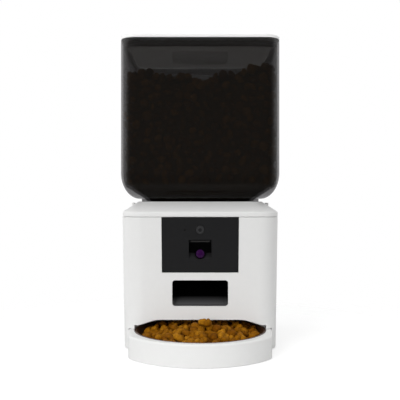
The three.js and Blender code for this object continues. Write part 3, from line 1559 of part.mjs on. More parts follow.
function footPlaces() {
  const sideX = baseWidth / 2 - footSideInset;
  const rearY = baseDepth / 2 - footRearInset;
  const frontY = trayY + Math.sqrt((trayRadius + footToTray + footRadius) ** 2 - sideX ** 2);
  return [[-sideX, frontY], [sideX, frontY], [-sideX, rearY], [sideX, rearY]];
}

const group = assembled();

export default group;
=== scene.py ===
"""Looks of a pet feeder with camera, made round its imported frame.

Shapes are worked out in millimetres, in the frame's own axes (+Z up, the front faces -Y), and become metres
when a mesh is made. Kibble is the feeder's content: it rides on the hopper and on the bowl.
"""

import math

import bmesh
import bpy
import numpy as np
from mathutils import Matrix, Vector


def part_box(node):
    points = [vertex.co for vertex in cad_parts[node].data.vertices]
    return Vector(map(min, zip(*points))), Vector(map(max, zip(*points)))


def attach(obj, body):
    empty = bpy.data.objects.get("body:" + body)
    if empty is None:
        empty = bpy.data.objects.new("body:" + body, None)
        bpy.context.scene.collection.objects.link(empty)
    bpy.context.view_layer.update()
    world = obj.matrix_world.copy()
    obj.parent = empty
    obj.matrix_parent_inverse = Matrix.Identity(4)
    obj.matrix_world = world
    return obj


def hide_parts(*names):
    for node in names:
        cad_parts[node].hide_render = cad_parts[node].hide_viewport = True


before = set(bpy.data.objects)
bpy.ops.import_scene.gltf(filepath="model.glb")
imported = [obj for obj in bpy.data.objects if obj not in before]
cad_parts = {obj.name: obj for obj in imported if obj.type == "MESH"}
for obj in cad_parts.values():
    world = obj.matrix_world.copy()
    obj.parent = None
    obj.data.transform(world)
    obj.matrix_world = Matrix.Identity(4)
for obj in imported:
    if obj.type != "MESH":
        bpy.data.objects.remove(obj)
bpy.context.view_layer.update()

MM = 0.001

# Sizes shared with the frame, in millimetres: a name in _Z is a height above the table
HOUSING_Y = 38.15
TRAY_Y = HOUSING_Y - 87
BASE_HALF = 94
BASE_CORNER = 27
BASE_TAPER = 2.35
BASE_WALL = 2.6
BASE_FOOT_Z = 1.2
SEAM_Z = 158.6
SHELL_TOP_Z = 158.35
COVER_BOTTOM_Z = 158.85
SLOPE_FOOT_Z = 164.3
SHOULDER_TOP_Z = 176.7
SHOULDER_INSET = 19
SHOULDER_RADIUS = 13.4
WELL_LEDGE_Z = 168
PANEL_LOW_Z = 93.2
PANEL_CORE_TOP_Z = 154.55
PANEL_WIDTH = 90.2
PANEL_FLARE = 1.1
PANEL_GAP = 0.25
RECESS_HALF = 13.45
RECESS_DEPTH = 6
RECESS_TOP_Z = 131.7
LENS_Z = 115.3
BUTTON_Z = 143.4
OUTLET_Z = 69
HOPPER_HALF = 95
HOPPER_RADIUS = 19
HOPPER_WALL = 2.5
HOPPER_HEEL = 2.1
HOPPER_BOTTOM_Z = 180
HOPPER_TOP_Z = 369.5
HOPPER_CURVE = 31
FUNNEL_CURVE = 18
FUNNEL_INSET = 5.5
LID_TOP_Z = 373.7
LID_SKIRT_Z = 369.8
NECK_INSET = 23.6
NECK_RADIUS = 10.65
TRAY_RADIUS = 84.3
TRAY_HEIGHT = 25.8
BOWL_RIM_RADIUS = 77.3
DOCK_CEILING_Z = 37.6
DOCK_SIDE_Z = 26.15
DOCK_RADIUS = 85.3


# Meshes


def linear(code):
    """An sRGB hex colour as linear RGBA."""
    channels = [int(code[i : i + 2], 16) / 255 for i in (1, 3, 5)]
    return [c / 12.92 if c <= 0.04045 else ((c + 0.055) / 1.055) ** 2.4 for c in channels] + [1.0]


def placed(name, data):
    """A new object in the scene that shows this data."""
    piece = bpy.data.objects.new(name, data)
    bpy.context.scene.collection.objects.link(piece)
    return piece


def mesh_object(name, points, faces):
    """A smooth shaded object at the origin, with these points (millimetres) and faces."""
    mesh = bpy.data.meshes.new(name)
    mesh.from_pydata((np.asarray(points, float) * MM).tolist(), [], faces)
    mesh.update()
    mesh.shade_smooth()
    return placed(name, mesh)


def tidy(piece, recalculate=True):
    """Merges points less than 0.002 mm apart, closes slivers and points the faces outwards."""
    distance = 0.002 * MM
    bm = bmesh.new()
    bm.from_mesh(piece.data)
    bmesh.ops.remove_doubles(bm, verts=bm.verts, dist=distance)
    bmesh.ops.dissolve_degenerate(bm, edges=bm.edges, dist=distance)
    if recalculate:
        bmesh.ops.recalc_face_normals(bm, faces=bm.faces)
    bm.to_mesh(piece.data)
    bm.free()
    return piece


def grid_faces(rows, columns, wrap_rows=False):
    """Quads of a rows by columns grid of points: the columns join round, and the rows do if asked."""
    r = np.arange(rows if wrap_rows else rows - 1)[:, None]
    c = np.arange(columns)[None, :]
    r2, c2 = (r + 1) % rows, (c + 1) % columns
    quads = np.stack([r * columns + c, r * columns + c2, r2 * columns + c2, r2 * columns + c], -1)
    return quads.reshape(-1, 4).tolist()


def loft(name, rings, closed):
    """A skin from ring to ring, all of as many points, whose ends join or are capped flat."""
    rings = np.asarray(rings, float)
    rows, columns = rings.shape[:2]
    faces = grid_faces(rows, columns, wrap_rows=closed)
    if not closed:
        faces.append(list(range(columns))[::-1])
        faces.append(list(range((rows - 1) * columns, rows * columns)))
    return tidy(mesh_object(name, rings.reshape(-1, 3), faces))


def rounded_ring(half_x, half_y, radius, z, centre=(0.0, HOUSING_Y), arc_steps=16, side_steps=6):
    """Rounded rectangle at height z: an arc in each quadrant, then points at eased shares of the side."""
    radius = min(radius, half_x, half_y)
    signs = [(1, 1), (-1, 1), (-1, -1), (1, -1)]
    turn = np.linspace(0, math.pi / 2, arc_steps + 1)
    arcs = []
    for quadrant, (sx, sy) in enumerate(signs):
        angle = turn + quadrant * math.pi / 2
        x = sx * (half_x - radius) + radius * np.cos(angle)
        y = sy * (half_y - radius) + radius * np.sin(angle)
        arcs.append(np.stack([x, y], -1))
    share = np.linspace(0, 1, side_steps + 1)[1:-1]
    share = (share * share * (3 - 2 * share))[:, None]
    points = []
    for quadrant in range(4):
        start, end = arcs[quadrant][-1], arcs[(quadrant + 1) % 4][0]
        points += [arcs[quadrant], start + (end - start) * share]
    flat = np.concatenate(points) + np.asarray(centre)
    return np.column_stack([flat, np.full(len(flat), z)])


def round_ring(radius, z):
    """A circle with as many points as the housing's and the tank's rings, to be lofted to them."""
    return rounded_ring(radius, radius, radius, z, arc_steps=18)


def filleted(profile, steps=6):
    """Rounds a profile's corners: a point's third value is the radius of the arc that touches both sides."""
    out = []
    for i, point in enumerate(profile):
        radius = point[2] if len(point) > 2 else 0
        if not radius or i in (0, len(profile) - 1):
            out.append(np.array(point[:2], float))
            continue
        corner = np.array(point[:2], float)
        before = np.array(profile[i - 1][:2], float) - corner
        after = np.array(profile[i + 1][:2], float) - corner
        before /= np.linalg.norm(before)
        after /= np.linalg.norm(after)
        half = math.acos(np.clip(before @ after, -1, 1)) / 2
        middle = before + after
        centre = corner + middle / np.linalg.norm(middle) * radius / math.sin(half)
        start = corner + before * radius / math.tan(half) - centre
        end = corner + after * radius / math.tan(half) - centre
        sweep = math.atan2(start[0] * end[1] - start[1] * end[0], start @ end)
        for angle in np.linspace(0, sweep, steps + 1):
            c, s = math.cos(angle), math.sin(angle)
            out.append(centre + np.array([start[0] * c - start[1] * s, start[0] * s + start[1] * c]))
    return np.array(out)


def full_turn(steps):
    """Evenly spaced angles, once round."""
    return np.linspace(0, 2 * math.pi, steps, endpoint=False)


def revolve(name, profile, centre, steps=96, axis="Z"):
    """A profile of (radius, height) turned once round Z, or round -Y, where height points to the front.
    Ends on the axis close to a pole."""
    profile = np.asarray(profile, float)
    angle = full_turn(steps)
    x = profile[:, :1] * np.cos(angle)
    y = profile[:, :1] * np.sin(angle)
    h = np.repeat(profile[:, 1:2], steps, 1)
    if axis == "Z":
        points = np.stack([x, y, h], -1)
    else:
        points = np.stack([x, -h, y], -1)
    closed = profile[0, 0] > 1e-6
    points = points.reshape(-1, 3) + np.asarray(centre, float)
    return tidy(mesh_object(name, points, grid_faces(len(profile), steps, wrap_rows=closed)))


def prism(name, outline, axis, low, high):
    """An outline carried straight along an axis from low to high, capped at both ends.
    Axis X reads the outline as (y, z), Y as (x, z) and Z as (x, y)."""
    u, v = np.asarray(outline, float).T
    count = len(u)
    layers = []
    for level in (low, high):
        along = np.full(count, level)
        layers.append(np.stack({"X": [along, u, v], "Y": [u, along, v], "Z": [u, v, along]}[axis], -1))
    faces = grid_faces(2, count)
    faces += [list(range(count))[::-1], list(range(count, 2 * count))]
    return tidy(mesh_object(name, np.concatenate(layers), faces))


def slab(name, x0, x1, y0, y1, z0, z1):
    """A plain block by its limits, to cut with or to join on."""
    return prism(name, [(x0, y0), (x1, y0), (x1, y1), (x0, y1)], "Z", z0, z1)


def flat_ring(half_u, half_v, radius, u, v, arc_steps=8):
    """A rounded rectangle outline in two coordinates about (u, v)."""
    return rounded_ring(half_u, half_v, radius, 0, (u, v), arc_steps, 1)[:, :2]


def circle(radius, u, v, steps=48):
    """A circle outline about (u, v)."""
    angle = full_turn(steps)
    return np.stack([u + radius * np.cos(angle), v + radius * np.sin(angle)], -1)


def baked(piece):
    """Turns a piece's modifiers into its mesh."""
    graph = bpy.context.evaluated_depsgraph_get()
    mesh = bpy.data.meshes.new_from_object(piece.evaluated_get(graph))
    old = piece.data
    piece.modifiers.clear()
    piece.data = mesh
    bpy.data.meshes.remove(old)


def boolean(piece, tools, operation="DIFFERENCE"):
    """Cuts tools out of a piece, joins them to it or keeps what they share, and deletes the tools."""
    for tool in tools:
        modifier = piece.modifiers.new("cut", "BOOLEAN")
        modifier.operation = operation
        modifier.solver = "EXACT"
        modifier.object = tool
        baked(piece)
        mesh = tool.data
        bpy.data.objects.remove(tool)
        bpy.data.meshes.remove(mesh)
    tidy(piece, recalculate=False)


def soften(piece, width, angle, segments):
    """Rounds the edges sharper than an angle by a moulding radius, and keeps the flats' shading flat."""
    piece.data.set_sharp_from_angle(angle=math.radians(angle))
    if width:
        bevel = piece.modifiers.new("moulded_edges", "BEVEL")
        bevel.width = width * MM
        bevel.segments = segments
        bevel.limit_method = "ANGLE"
        bevel.angle_limit = math.radians(angle)
        bevel.use_clamp_overlap = True
        bevel.miter_outer = "MITER_ARC"
    normals = piece.modifiers.new("flat_shading", "WEIGHTED_NORMAL")
    normals.keep_sharp = True
    normals.weight = 100


def copied(name, node):
    """A merged copy of a CAD node's loose triangles, for a piece that stands for it. Those that lie in one
    plane are joined, so that its edges round cleanly."""
    piece = placed(name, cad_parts[node].data.copy())
    piece.data.name = name
    piece.data.materials.clear()
    tidy(piece, recalculate=False)
    bm = bmesh.new()
    bm.from_mesh(piece.data)
    bmesh.ops.dissolve_limit(bm, angle_limit=math.radians(0.5), verts=bm.verts, edges=bm.edges)
    bm.to_mesh(piece.data)
    bm.free()
    piece.data.shade_smooth()
    return piece


def dress(piece, body, look, slot, *replaces, edge=0.0, angle=35, segments=2):
    """Finishes a piece: moulding radius, material, body and the CAD nodes that it stands for. The slot is
    not used.
    """
    if edge is not None:
        soften(piece, edge, angle, segments)
    piece.data.materials.clear()
    piece.data.materials.append(look)
    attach(piece, body)
    if replaces:
        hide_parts(*replaces)


# Materials


def add(tree, kind, settings=None, links=None):
    """Adds a shader node: settings fill its sockets or attributes by name, and links join its sockets to
    other nodes' sockets, or to the first output where a node itself is given."""
    node = tree.nodes.new("ShaderNode" + kind)
    for key, value in (settings or {}).items():
        if isinstance(key, str) and hasattr(node, key):
            setattr(node, key, value)
        else:
            node.inputs[key].default_value = value
    for key, source in (links or {}).items():
        tree.links.new(getattr(source, "outputs", [source])[0], node.inputs[key])
    return node


def noise(tree, place, size_mm, detail, roughness=0.5):
    """Noise of a real size: its scale is one over that size, since Object coordinates are metres."""
    settings = {"Scale": 1 / (size_mm * MM), "Detail": detail, "Roughness": roughness}
    return add(tree, "TexNoise", settings, {"Vector": place})


def mapped(tree, value, low, high, to_low=0.0, to_high=1.0, easing="LINEAR"):
    """A value carried from one range to another and held at both ends."""
    settings = {1: low, 2: high, 3: to_low, 4: to_high, "interpolation_type": easing}
    return add(tree, "MapRange", settings, {"Value": value})


def multiplied(tree, settings, links):
    """Two colours, in sockets 6 and 7 of a mix, multiplied with each other."""
    mix = add(tree, "Mix", {"data_type": "RGBA", "blend_type": "MULTIPLY", 0: 1.0, **settings}, links)
    return mix.outputs[2]


def new_material(name):
    """An empty material, its node tree and the socket of Object coordinates."""
    material = bpy.data.materials.new(name)
    material.use_nodes = True
    tree = material.node_tree
    tree.nodes.clear()
    return material, tree, add(tree, "TexCoord").outputs["Object"]


def finished(material, shader):
    """A material with its surface shader joined to the output."""
    add(material.node_tree, "OutputMaterial", links={"Surface": shader})
    return material


def surface(name, colour, roughness, grain=0.0, grain_mm=0.4, mottle=0.0, mottle_mm=6.0, wear=0.0,
            specular=0.5, **sockets):
    """A moulded or metal surface: a colour with a faint mottle, a roughness that wanders with it, and a bump
    of fine grain."""
    material, tree, place = new_material(name)
    shader = add(tree, "BsdfPrincipled", {"Roughness": roughness, "Specular IOR Level": specular, **sockets})
    soft = noise(tree, place, mottle_mm, 3)
    tone = mapped(tree, soft, 0.3, 0.7, 1 - mottle, 1 + mottle)
    tint = multiplied(tree, {6: linear(colour)}, {7: tone})
    tree.links.new(tint, shader.inputs["Base Color"])
    if wear:
        rough = mapped(tree, soft, 0.3, 0.7, roughness * (1 - wear), roughness * (1 + wear))
        tree.links.new(rough.outputs[0], shader.inputs["Roughness"])
    if grain:
        fine = noise(tree, place, grain_mm, 2)
        bump = add(tree, "Bump", {"Strength": grain, "Distance": 0.05 * MM}, {"Height": fine})
        tree.links.new(bump.outputs[0], shader.inputs["Normal"])
    return finished(material, shader)


# White ABS, injection moulded in a satin polished tool: even, with a barely felt grain
SATIN_ABS = {"grain": 0.25, "grain_mm": 0.5, "mottle": 0.006, "IOR": 1.53}
white_abs = surface("white_abs_moulded", "#EAEAE9", 0.36, wear=0.08, **SATIN_ABS)
# The lid's ABS: the housing's, painted a shade whiter as painted light, since less floor light reaches it
lid_abs_painted_whiter = surface("white_abs_lid", "#FBFBFA", 0.36, wear=0.08, **SATIN_ABS)
# The lid's underside and skirt: thin ABS that daylight glows through, matt inside
DAYLIGHT_GLOW = {"Subsurface Weight": 1.0, "Subsurface Scale": 0.05, "Subsurface Radius": (1.0, 0.98, 0.96)}
# The underside: the same white ABS painted grey, as painted shade
lid_under_abs_painted_shade = surface(
    "white_abs_lid_underside_painted_shade", "#828281", 0.7, specular=0.1, **SATIN_ABS, **DAYLIGHT_GLOW)
# The skirt: painted a shade whiter like the lid, as painted light
lid_skirt_abs_painted_whiter = surface("white_abs_lid_skirt", "#FAFAF9", 0.5, **SATIN_ABS, **DAYLIGHT_GLOW)
# Black ABS of the camera panel, moulded in a fine spark-eroded tool: a dry satin black
black_abs = surface(
    "black_abs_textured", "#1E1E1F", 0.55, grain=0.5, grain_mm=0.35, mottle=0.02, wear=0.1, specular=0.3)
# Dark ABS of the dosing parts: plain matt moulding
dark_abs = surface(
    "dark_abs_moulded", "#2C2C2D", 0.55, grain=0.4, grain_mm=0.5, mottle=0.02, wear=0.1, specular=0.3)
# Melamine bowl, pressed and polished: a warm dark brown
bowl_melamine = surface(
    "dark_melamine_pressed", "#4A3020", 0.34, grain=0.15, grain_mm=0.8, mottle=0.03, wear=0.12, IOR=1.56)
# Natural acetal gears and bush, moulded: waxy off-white
acetal = surface("acetal_moulded", "#D6D2C6", 0.42, grain=0.2, grain_mm=0.6, mottle=0.02, wear=0.1, IOR=1.48)
# Grey silicone of the throat's seal and the rotor's vanes, moulded: soft and dry
silicone = surface(
    "silicone_moulded", "#8A8D90", 0.62, grain=0.35, grain_mm=0.5, mottle=0.02, wear=0.1, IOR=1.41)
# Black rubber feet, pressed: dull, slightly dusty
rubber = surface("rubber_pressed", "#2A2A2A", 0.8, grain=0.6, grain_mm=0.6, mottle=0.08, wear=0.05, IOR=1.52)
# Smoked acrylic window, polished: near black and mirror smooth
black_acrylic = surface("smoked_acrylic_polished", "#020202", 0.04, specular=0.25, IOR=1.49)
# Polycarbonate light pipe: dim grey while the light is off
light_pipe = surface("polycarbonate_light_pipe", "#2E2E2D", 0.45, grain=0.2, grain_mm=0.3, IOR=1.58)
# Coated camera glass: a dark violet bloom with a soft gloss
coated_glass = surface("coated_lens_glass", "#2E0A3A", 0.25, specular=0.2, IOR=1.52)
# Lens barrel: black polycarbonate with a texture that traps the light
barrel_black = surface("barrel_polycarbonate", "#040405", 0.7, specular=0.12)
# Button cap: the panel's plastic from a smoother tool, painted a lighter grey as painted light on its ring
button_abs_painted_light = surface("button_abs_satin_painted_light", "#343435", 0.35, grain=0.15, grain_mm=0.4)
# Solder mask on a fibreglass board: green and glossy, over threads of about 0.6 mm
solder_mask = surface(
    "solder_mask_on_fibreglass", "#1E5034", 0.3, grain=0.5, grain_mm=0.6, mottle=0.05, wear=0.2, IOR=1.55)
# Drawn steel can of the motor: dull grey metal with soft streaks
drawn_steel = surface(
    "steel_drawn", "#A4A6A9", 0.36, grain=0.3, grain_mm=0.4, mottle=0.04, wear=0.25, Metallic=1.0)
# Ground steel of shafts and screws: brighter, finer
ground_steel = surface(
    "steel_ground", "#BDBFC2", 0.24, grain=0.2, grain_mm=0.3, mottle=0.02, wear=0.2, Metallic=1.0)
# Crumbs between the nuggets: their crust in one shade
kibble_crumb = surface("kibble_crumbs", "#5E3A0A", 0.9, grain=1.0, grain_mm=1.5, mottle=0.3, mottle_mm=3.0)


def height_tone(tree, height, low_z, high_z, low_colour, high_colour):
    """A colour socket that turns from one colour to another between two heights above the table."""
    share = mapped(tree, height, low_z * MM, high_z * MM)
    colours = {"data_type": "RGBA", 6: linear(low_colour), 7: linear(high_colour)}
    return add(tree, "Mix", colours, {0: share}).outputs[2]


def smoky_plastic():
    """Smoky styrene moulding: each wall lets a good third of the light through and mirrors the room on top.
    The thick neck and underside are darker and less glossy than the walls."""
    material, tree, place = new_material("smoky_san_polished")
    bump = add(tree, "Bump", {"Strength": 0.06, "Distance": 0.4 * MM}, {"Height": noise(tree, place, 40, 2)})
    through = add(tree, "BsdfTransparent", {"Color": linear("#FAF9FA")})
    height = add(tree, "SeparateXYZ", links={0: place}).outputs["Z"]
    shine = mapped(tree, height, 190 * MM, 216 * MM, 0.1, 0.7, "SMOOTHSTEP")
    tone = height_tone(tree, height, 181, 196, "#030303", "#171614")
    links = {"Base Color": tone, "Specular IOR Level": shine, "Normal": bump}
    gloss = add(tree, "BsdfPrincipled", {"Roughness": 0.08, "IOR": 1.5}, links)
    both = add(tree, "MixShader", {0: 0.63}, {1: through, 2: gloss})
    return finished(material, both)


smoky_san = smoky_plastic()


def thin_plastic(name, clear):
    """Thin clear moulding: a share of the light passes straight on, and the rest scatters to both sides."""
    material, tree = new_material(name)[:2]
    glow = add(tree, "BsdfTranslucent", {"Color": linear("#FAFAF9")})
    paint = add(tree, "BsdfPrincipled", {"Base Color": linear("#F6F6F5"), "Roughness": 0.5, "IOR": 1.5})
    milk = add(tree, "MixShader", {0: 0.45}, {1: glow, 2: paint})
    through = add(tree, "BsdfTransparent", {"Color": linear("#FBFBFB")})
    both = add(tree, "MixShader", {0: clear}, {1: milk, 2: through})
    return finished(material, both)


# Natural polypropylene of the desiccant box: thin walls, nearly clear
frosted_pp = thin_plastic("polypropylene_frosted", 0.95)
# Clear silicone of the lid's seal: a little milky
seal_silicone = thin_plastic("silicone_clear_seal", 0.72)


def chute_plastic():
    """Black moulded duct: its lip and the first of its floor are painted grey, as painted light where light
    falls in through the outlet, and turn to matt black within 8.5 mm of height, as painted shade deeper in."""
    material, tree, place = new_material("black_abs_duct_painted_lit_lip")
    height = add(tree, "SeparateXYZ", links={0: place}).outputs["Z"]
    # Painted light at the outlet's lip, fading up into painted shade
    tone = height_tone(tree, height, 55.5, 64, "#4C4C4D", "#010101")
    settings = {"Roughness": 0.8, "IOR": 1.5, "Specular IOR Level": 0.05}
    shader = add(tree, "BsdfPrincipled", settings, {"Base Color": tone})
    return finished(material, shader)


chute_abs = chute_plastic()


def kibble_surface(name, colours, roughness):
    """Baked kibble: a crust that takes one of a range of tones for each nugget, and a rough bump with pits
    of about
    1 mm. The crust is painted darker in the pits and a little lighter on the rises: painted shade and light."""
    material, tree, place = new_material(name)
    tone = add(tree, "Attribute", {"attribute_name": "tone"})
    ramp = add(tree, "ValToRGB", links={"Fac": tone.outputs["Fac"]})
    stops = ramp.color_ramp.elements
    stops[0].color, stops[1].color = linear(colours[0]), linear(colours[2])
    stops.new(0.5).color = linear(colours[1])
    pits = noise(tree, place, 2.2, 4, 0.65)
    # The crust darkens where the bump sinks and lightens where it rises: painted shade and light
    dark = mapped(tree, pits, 0.32, 0.62, 0.6, 1.12)
    crust = multiplied(tree, {}, {6: ramp, 7: dark})
    bump = add(tree, "Bump", {"Strength": 0.7, "Distance": 0.5 * MM}, {"Height": pits})
    settings = {"Roughness": roughness, "IOR": 1.45, "Specular IOR Level": 0.2}
    shader = add(tree, "BsdfPrincipled", settings, {"Base Color": crust, "Normal": bump})
    return finished(material, shader)


# Extruded and baked kibble: dry and brown
kibble_crust = kibble_surface("kibble_baked_crust", ["#6F4003", "#8F5B08", "#AE7517"], 0.85)


# Housing


def base_lean(z):
    """How far the housing's wall stands back from its seam's width at a height."""
    return BASE_TAPER * (1 - z / SEAM_Z) if z < SEAM_Z else 0.0


def base_ring(inset, z):
    """The housing's plan at a height: it tapers to the table, and its corner tightens with the inset."""
    radius = BASE_CORNER - inset * (BASE_CORNER - SHOULDER_RADIUS) / SHOULDER_INSET
    half = BASE_HALF - base_lean(z) - inset
    return rounded_ring(half, half, radius, z, arc_steps=18)


def wall_y(z):
    """World y of the front wall's face at a height."""
    return HOUSING_Y - BASE_HALF + base_lean(z)


def panel_outline(gap, top):
    """The camera panel's outline as (x, z), wider towards the top, with a gap at its foot and sides."""
    outline = []
    for z, signs in ((PANEL_LOW_Z + gap, (-1, 1)), (top, (1, -1))):
        share = (z - PANEL_LOW_Z) / (SHELL_TOP_Z - PANEL_LOW_Z)
        half = (PANEL_WIDTH + PANEL_FLARE * share) / 2 - gap
        outline += [(sign * half, z) for sign in signs]
    return outline


def dock_plan(radius):
    """The dock's plan: a half circle behind the tray's centre, and straight sides out to the front."""
    angle = np.linspace(0, math.pi, 65)
    arc = np.stack([radius * np.cos(angle), TRAY_Y + radius * np.sin(angle)], -1)
    return np.concatenate([arc, [(-radius, -80), (radius, -80)]])


def dock_arch():
    """The dock's mouth in the front wall: flat, then sloping down beside the bowl as far as its lift allows,
    and from there down to the tray's own rim."""
    bowl_side = 77.8
    right = filleted([
        (0, DOCK_CEILING_Z), (52, DOCK_CEILING_Z, 30), (73.6, 30.95, 8), (bowl_side, 30.95, 0.5),
        (bowl_side, DOCK_SIDE_Z, 0.5), (DOCK_RADIUS, DOCK_SIDE_Z, 0.3), (DOCK_RADIUS, -10)], 8)[1:]
    return np.vstack([right, (right * [-1, 1])[::-1]])


# Axis and limits of cutters that go through the front and the rear wall
FRONT_CUT = ("Y", -90, -30)
REAR_CUT = ("Y", 120, 140)


def make_base_shell():
    """Tapered walls lofted from ring to ring, with the openings cut through and their edges rounded."""
    foot = filleted([(BASE_WALL, BASE_FOOT_Z), (0, BASE_FOOT_Z, 0.9), (0, 20)], 4)
    profile = [*foot, *[(0, z) for z in (60, 100, 140)], (0, SHELL_TOP_Z - 0.35), (0.35, SHELL_TOP_Z),
               (BASE_WALL, SHELL_TOP_Z)]
    shell = loft("base_housing", [base_ring(inset, z) for inset, z in profile], True)
    outlet = prism("cut_outlet", flat_ring(65.7 / 2, 30.4 / 2, 3.5, 0, OUTLET_Z), *FRONT_CUT)
    notch = prism("cut_notch", panel_outline(0, SHELL_TOP_Z + 5), "Y", -70, HOUSING_Y - BASE_HALF + 4.95)
    dock = prism("cut_dock", dock_plan(DOCK_RADIUS - 0.2), "Z", -5, DOCK_CEILING_Z)
    boolean(dock, [prism("arch", dock_arch(), "Y", -90, 60)], "INTERSECT")
    jack = prism("cut_jack", circle(4.9, 50, 24), *REAR_CUT)
    slots = [prism("cut_slot", flat_ring(12, 1, 0.9, -48, 86 + 4.4 * i), *REAR_CUT) for i in range(-3, 4)]
    boolean(shell, [outlet, notch, dock, jack, *slots])
    dress(shell, "base", white_abs, "white_plastic", "base_shell", edge=0.3)


def make_top_cover():
    """Band, bend and four slopes, then the well down to the ledge and the round collar under it, and back
    along the underside. Beside the well each latch has a slot for its tab and a window for its nose."""
    outline = filleted([
        (2.9, COVER_BOTTOM_Z), (0, COVER_BOTTOM_Z, 0.35), (0, SLOPE_FOOT_Z, 3),
        (SHOULDER_INSET, SHOULDER_TOP_Z, 0.8), (22, SHOULDER_TOP_Z, 0.3), (22, WELL_LEDGE_Z),
        (28, WELL_LEDGE_Z, 2), (34, WELL_LEDGE_Z - 6)], 6)[:-1]
    collar = [(58, 155.6), (58, 151), (60.5, 151), (60.5, 153.3)]
    underside = [(28, 165.7), (19.7, 165.7), (19.7, 174.4), (4.9, 164.75), (4.9, 154.85), (2.9, 154.85)]
    rings = [base_ring(inset, z) for inset, z in outline]
    rings += [round_ring(radius, z) for radius, z in collar]
    rings += [base_ring(inset, z) for inset, z in underside]
    cover = loft("shoulder_cover", rings, True)
    tools = []
    for side in (-1, 1):
        slot = sorted((side * 83.85, side * 91.25))
        window = sorted((side * 71, side * 74.6))
        tools.append(slab("cut_slot", *slot, HOUSING_Y - 7.5, HOUSING_Y + 7.5, 163.45, 182))
        tools.append(slab("cut_window", *window, HOUSING_Y - 5.3, HOUSING_Y + 5.3, 168.6, 170.3))
    boolean(cover, tools)
    dress(cover, "base", white_abs, "white_plastic", "top_cover", edge=0.2)


def make_latches():
    """The release sliders, whose finger tabs stand up through the slopes."""
    for side in ("left", "right"):
        latch = copied(f"release_latch_{side}", f"latch_{side}")
        dress(latch, f"latch_{side}", white_abs, "white_plastic", f"latch_{side}", edge=0.45, segments=3)


# Hopper and lid


def hopper_ring(inset, z):
    """The tank's plan: its corner tightens evenly from the wall to the neck."""
    radius = HOPPER_RADIUS - inset * (HOPPER_RADIUS - NECK_RADIUS) / NECK_INSET
    half = HOPPER_HALF - inset
    return rounded_ring(half, half, radius, z, arc_steps=18)


def make_hopper():
    """Throat, ledge seat and neck, then a quarter ellipse up to the straight wall; inside, the same down to
    a funnel that closes to the round throat."""
    seat_z = WELL_LEDGE_Z + 0.3
    rings = [round_ring(54, 152.6), round_ring(54, 158), hopper_ring(NECK_INSET + 5.7, seat_z),
             hopper_ring(NECK_INSET, seat_z), hopper_ring(NECK_INSET, HOPPER_BOTTOM_Z)]
    for angle in np.linspace(0, math.pi / 2, 25):
        inset = (NECK_INSET - HOPPER_HEEL) * (1 - math.sin(angle))
        rings.append(hopper_ring(inset, HOPPER_BOTTOM_Z + HOPPER_CURVE * (1 - math.cos(angle))))
    rim = [(0, 260), (0, 320), (0, HOPPER_TOP_Z - 0.4), (0.4, HOPPER_TOP_Z), (2.1, HOPPER_TOP_Z),
           (HOPPER_WALL, HOPPER_TOP_Z - 0.4), (HOPPER_WALL, 320), (HOPPER_WALL, 260)]
    rings += [hopper_ring(inset, z) for inset, z in rim]
    for angle in np.linspace(0, math.pi / 2, 17):
        inset = HOPPER_WALL + FUNNEL_INSET * (1 - math.cos(angle))
        rings.append(hopper_ring(inset, HOPPER_BOTTOM_Z + HOPPER_CURVE - FUNNEL_CURVE * math.sin(angle)))
    rings.append(hopper_ring(NECK_INSET + 3, HOPPER_BOTTOM_Z + 0.6))
    rings += [round_ring(51.5, 163), round_ring(51.5, 152.6)]
    tank = loft("smoky_tank", rings, True)
    dress(tank, "hopper", smoky_san, "smoky_plastic", "hopper")


def make_lid():
    """A flat plate with a small edge radius, and the skirt with its seal groove hanging inside the tank. The
    middle of the underside and all that hangs below the plate get materials of their own."""
    skirt, groove, back = 3.4, 4.4, 5.8
    outline = filleted([
        (back, LID_SKIRT_Z), (back, 359.8), (skirt, 359.8, 0.5), (skirt, 362.8), (groove, 362.8),
        (groove, 366.8), (skirt, 366.8), (skirt, LID_SKIRT_Z), (0, LID_SKIRT_Z, 0.4), (0, LID_TOP_Z, 1.2),
        (3, LID_TOP_Z)], 5)
    rings = [hopper_ring(inset, z) for inset, z in outline]
    rings += [hopper_ring(inset, LID_TOP_Z) for inset in (20, 50)]
    lid = loft("lid_plate", rings, False)
    dress(lid, "lid", lid_abs_painted_whiter, "white_plastic", "lid")
    # The underside's middle takes the grey painted shade and the skirt the whiter painted light
    lid.data.materials.append(lid_under_abs_painted_shade)
    lid.data.materials.append(lid_skirt_abs_painted_whiter)
    for face in lid.data.polygons:
        middle = max(abs(face.center.x) / MM, abs(face.center.y / MM - HOUSING_Y)) < 60
        if face.normal.z < -0.9 and middle:
            face.material_index = 1
        elif face.center.z < (LID_SKIRT_Z - 0.1) * MM:
            face.material_index = 2


# Camera panel


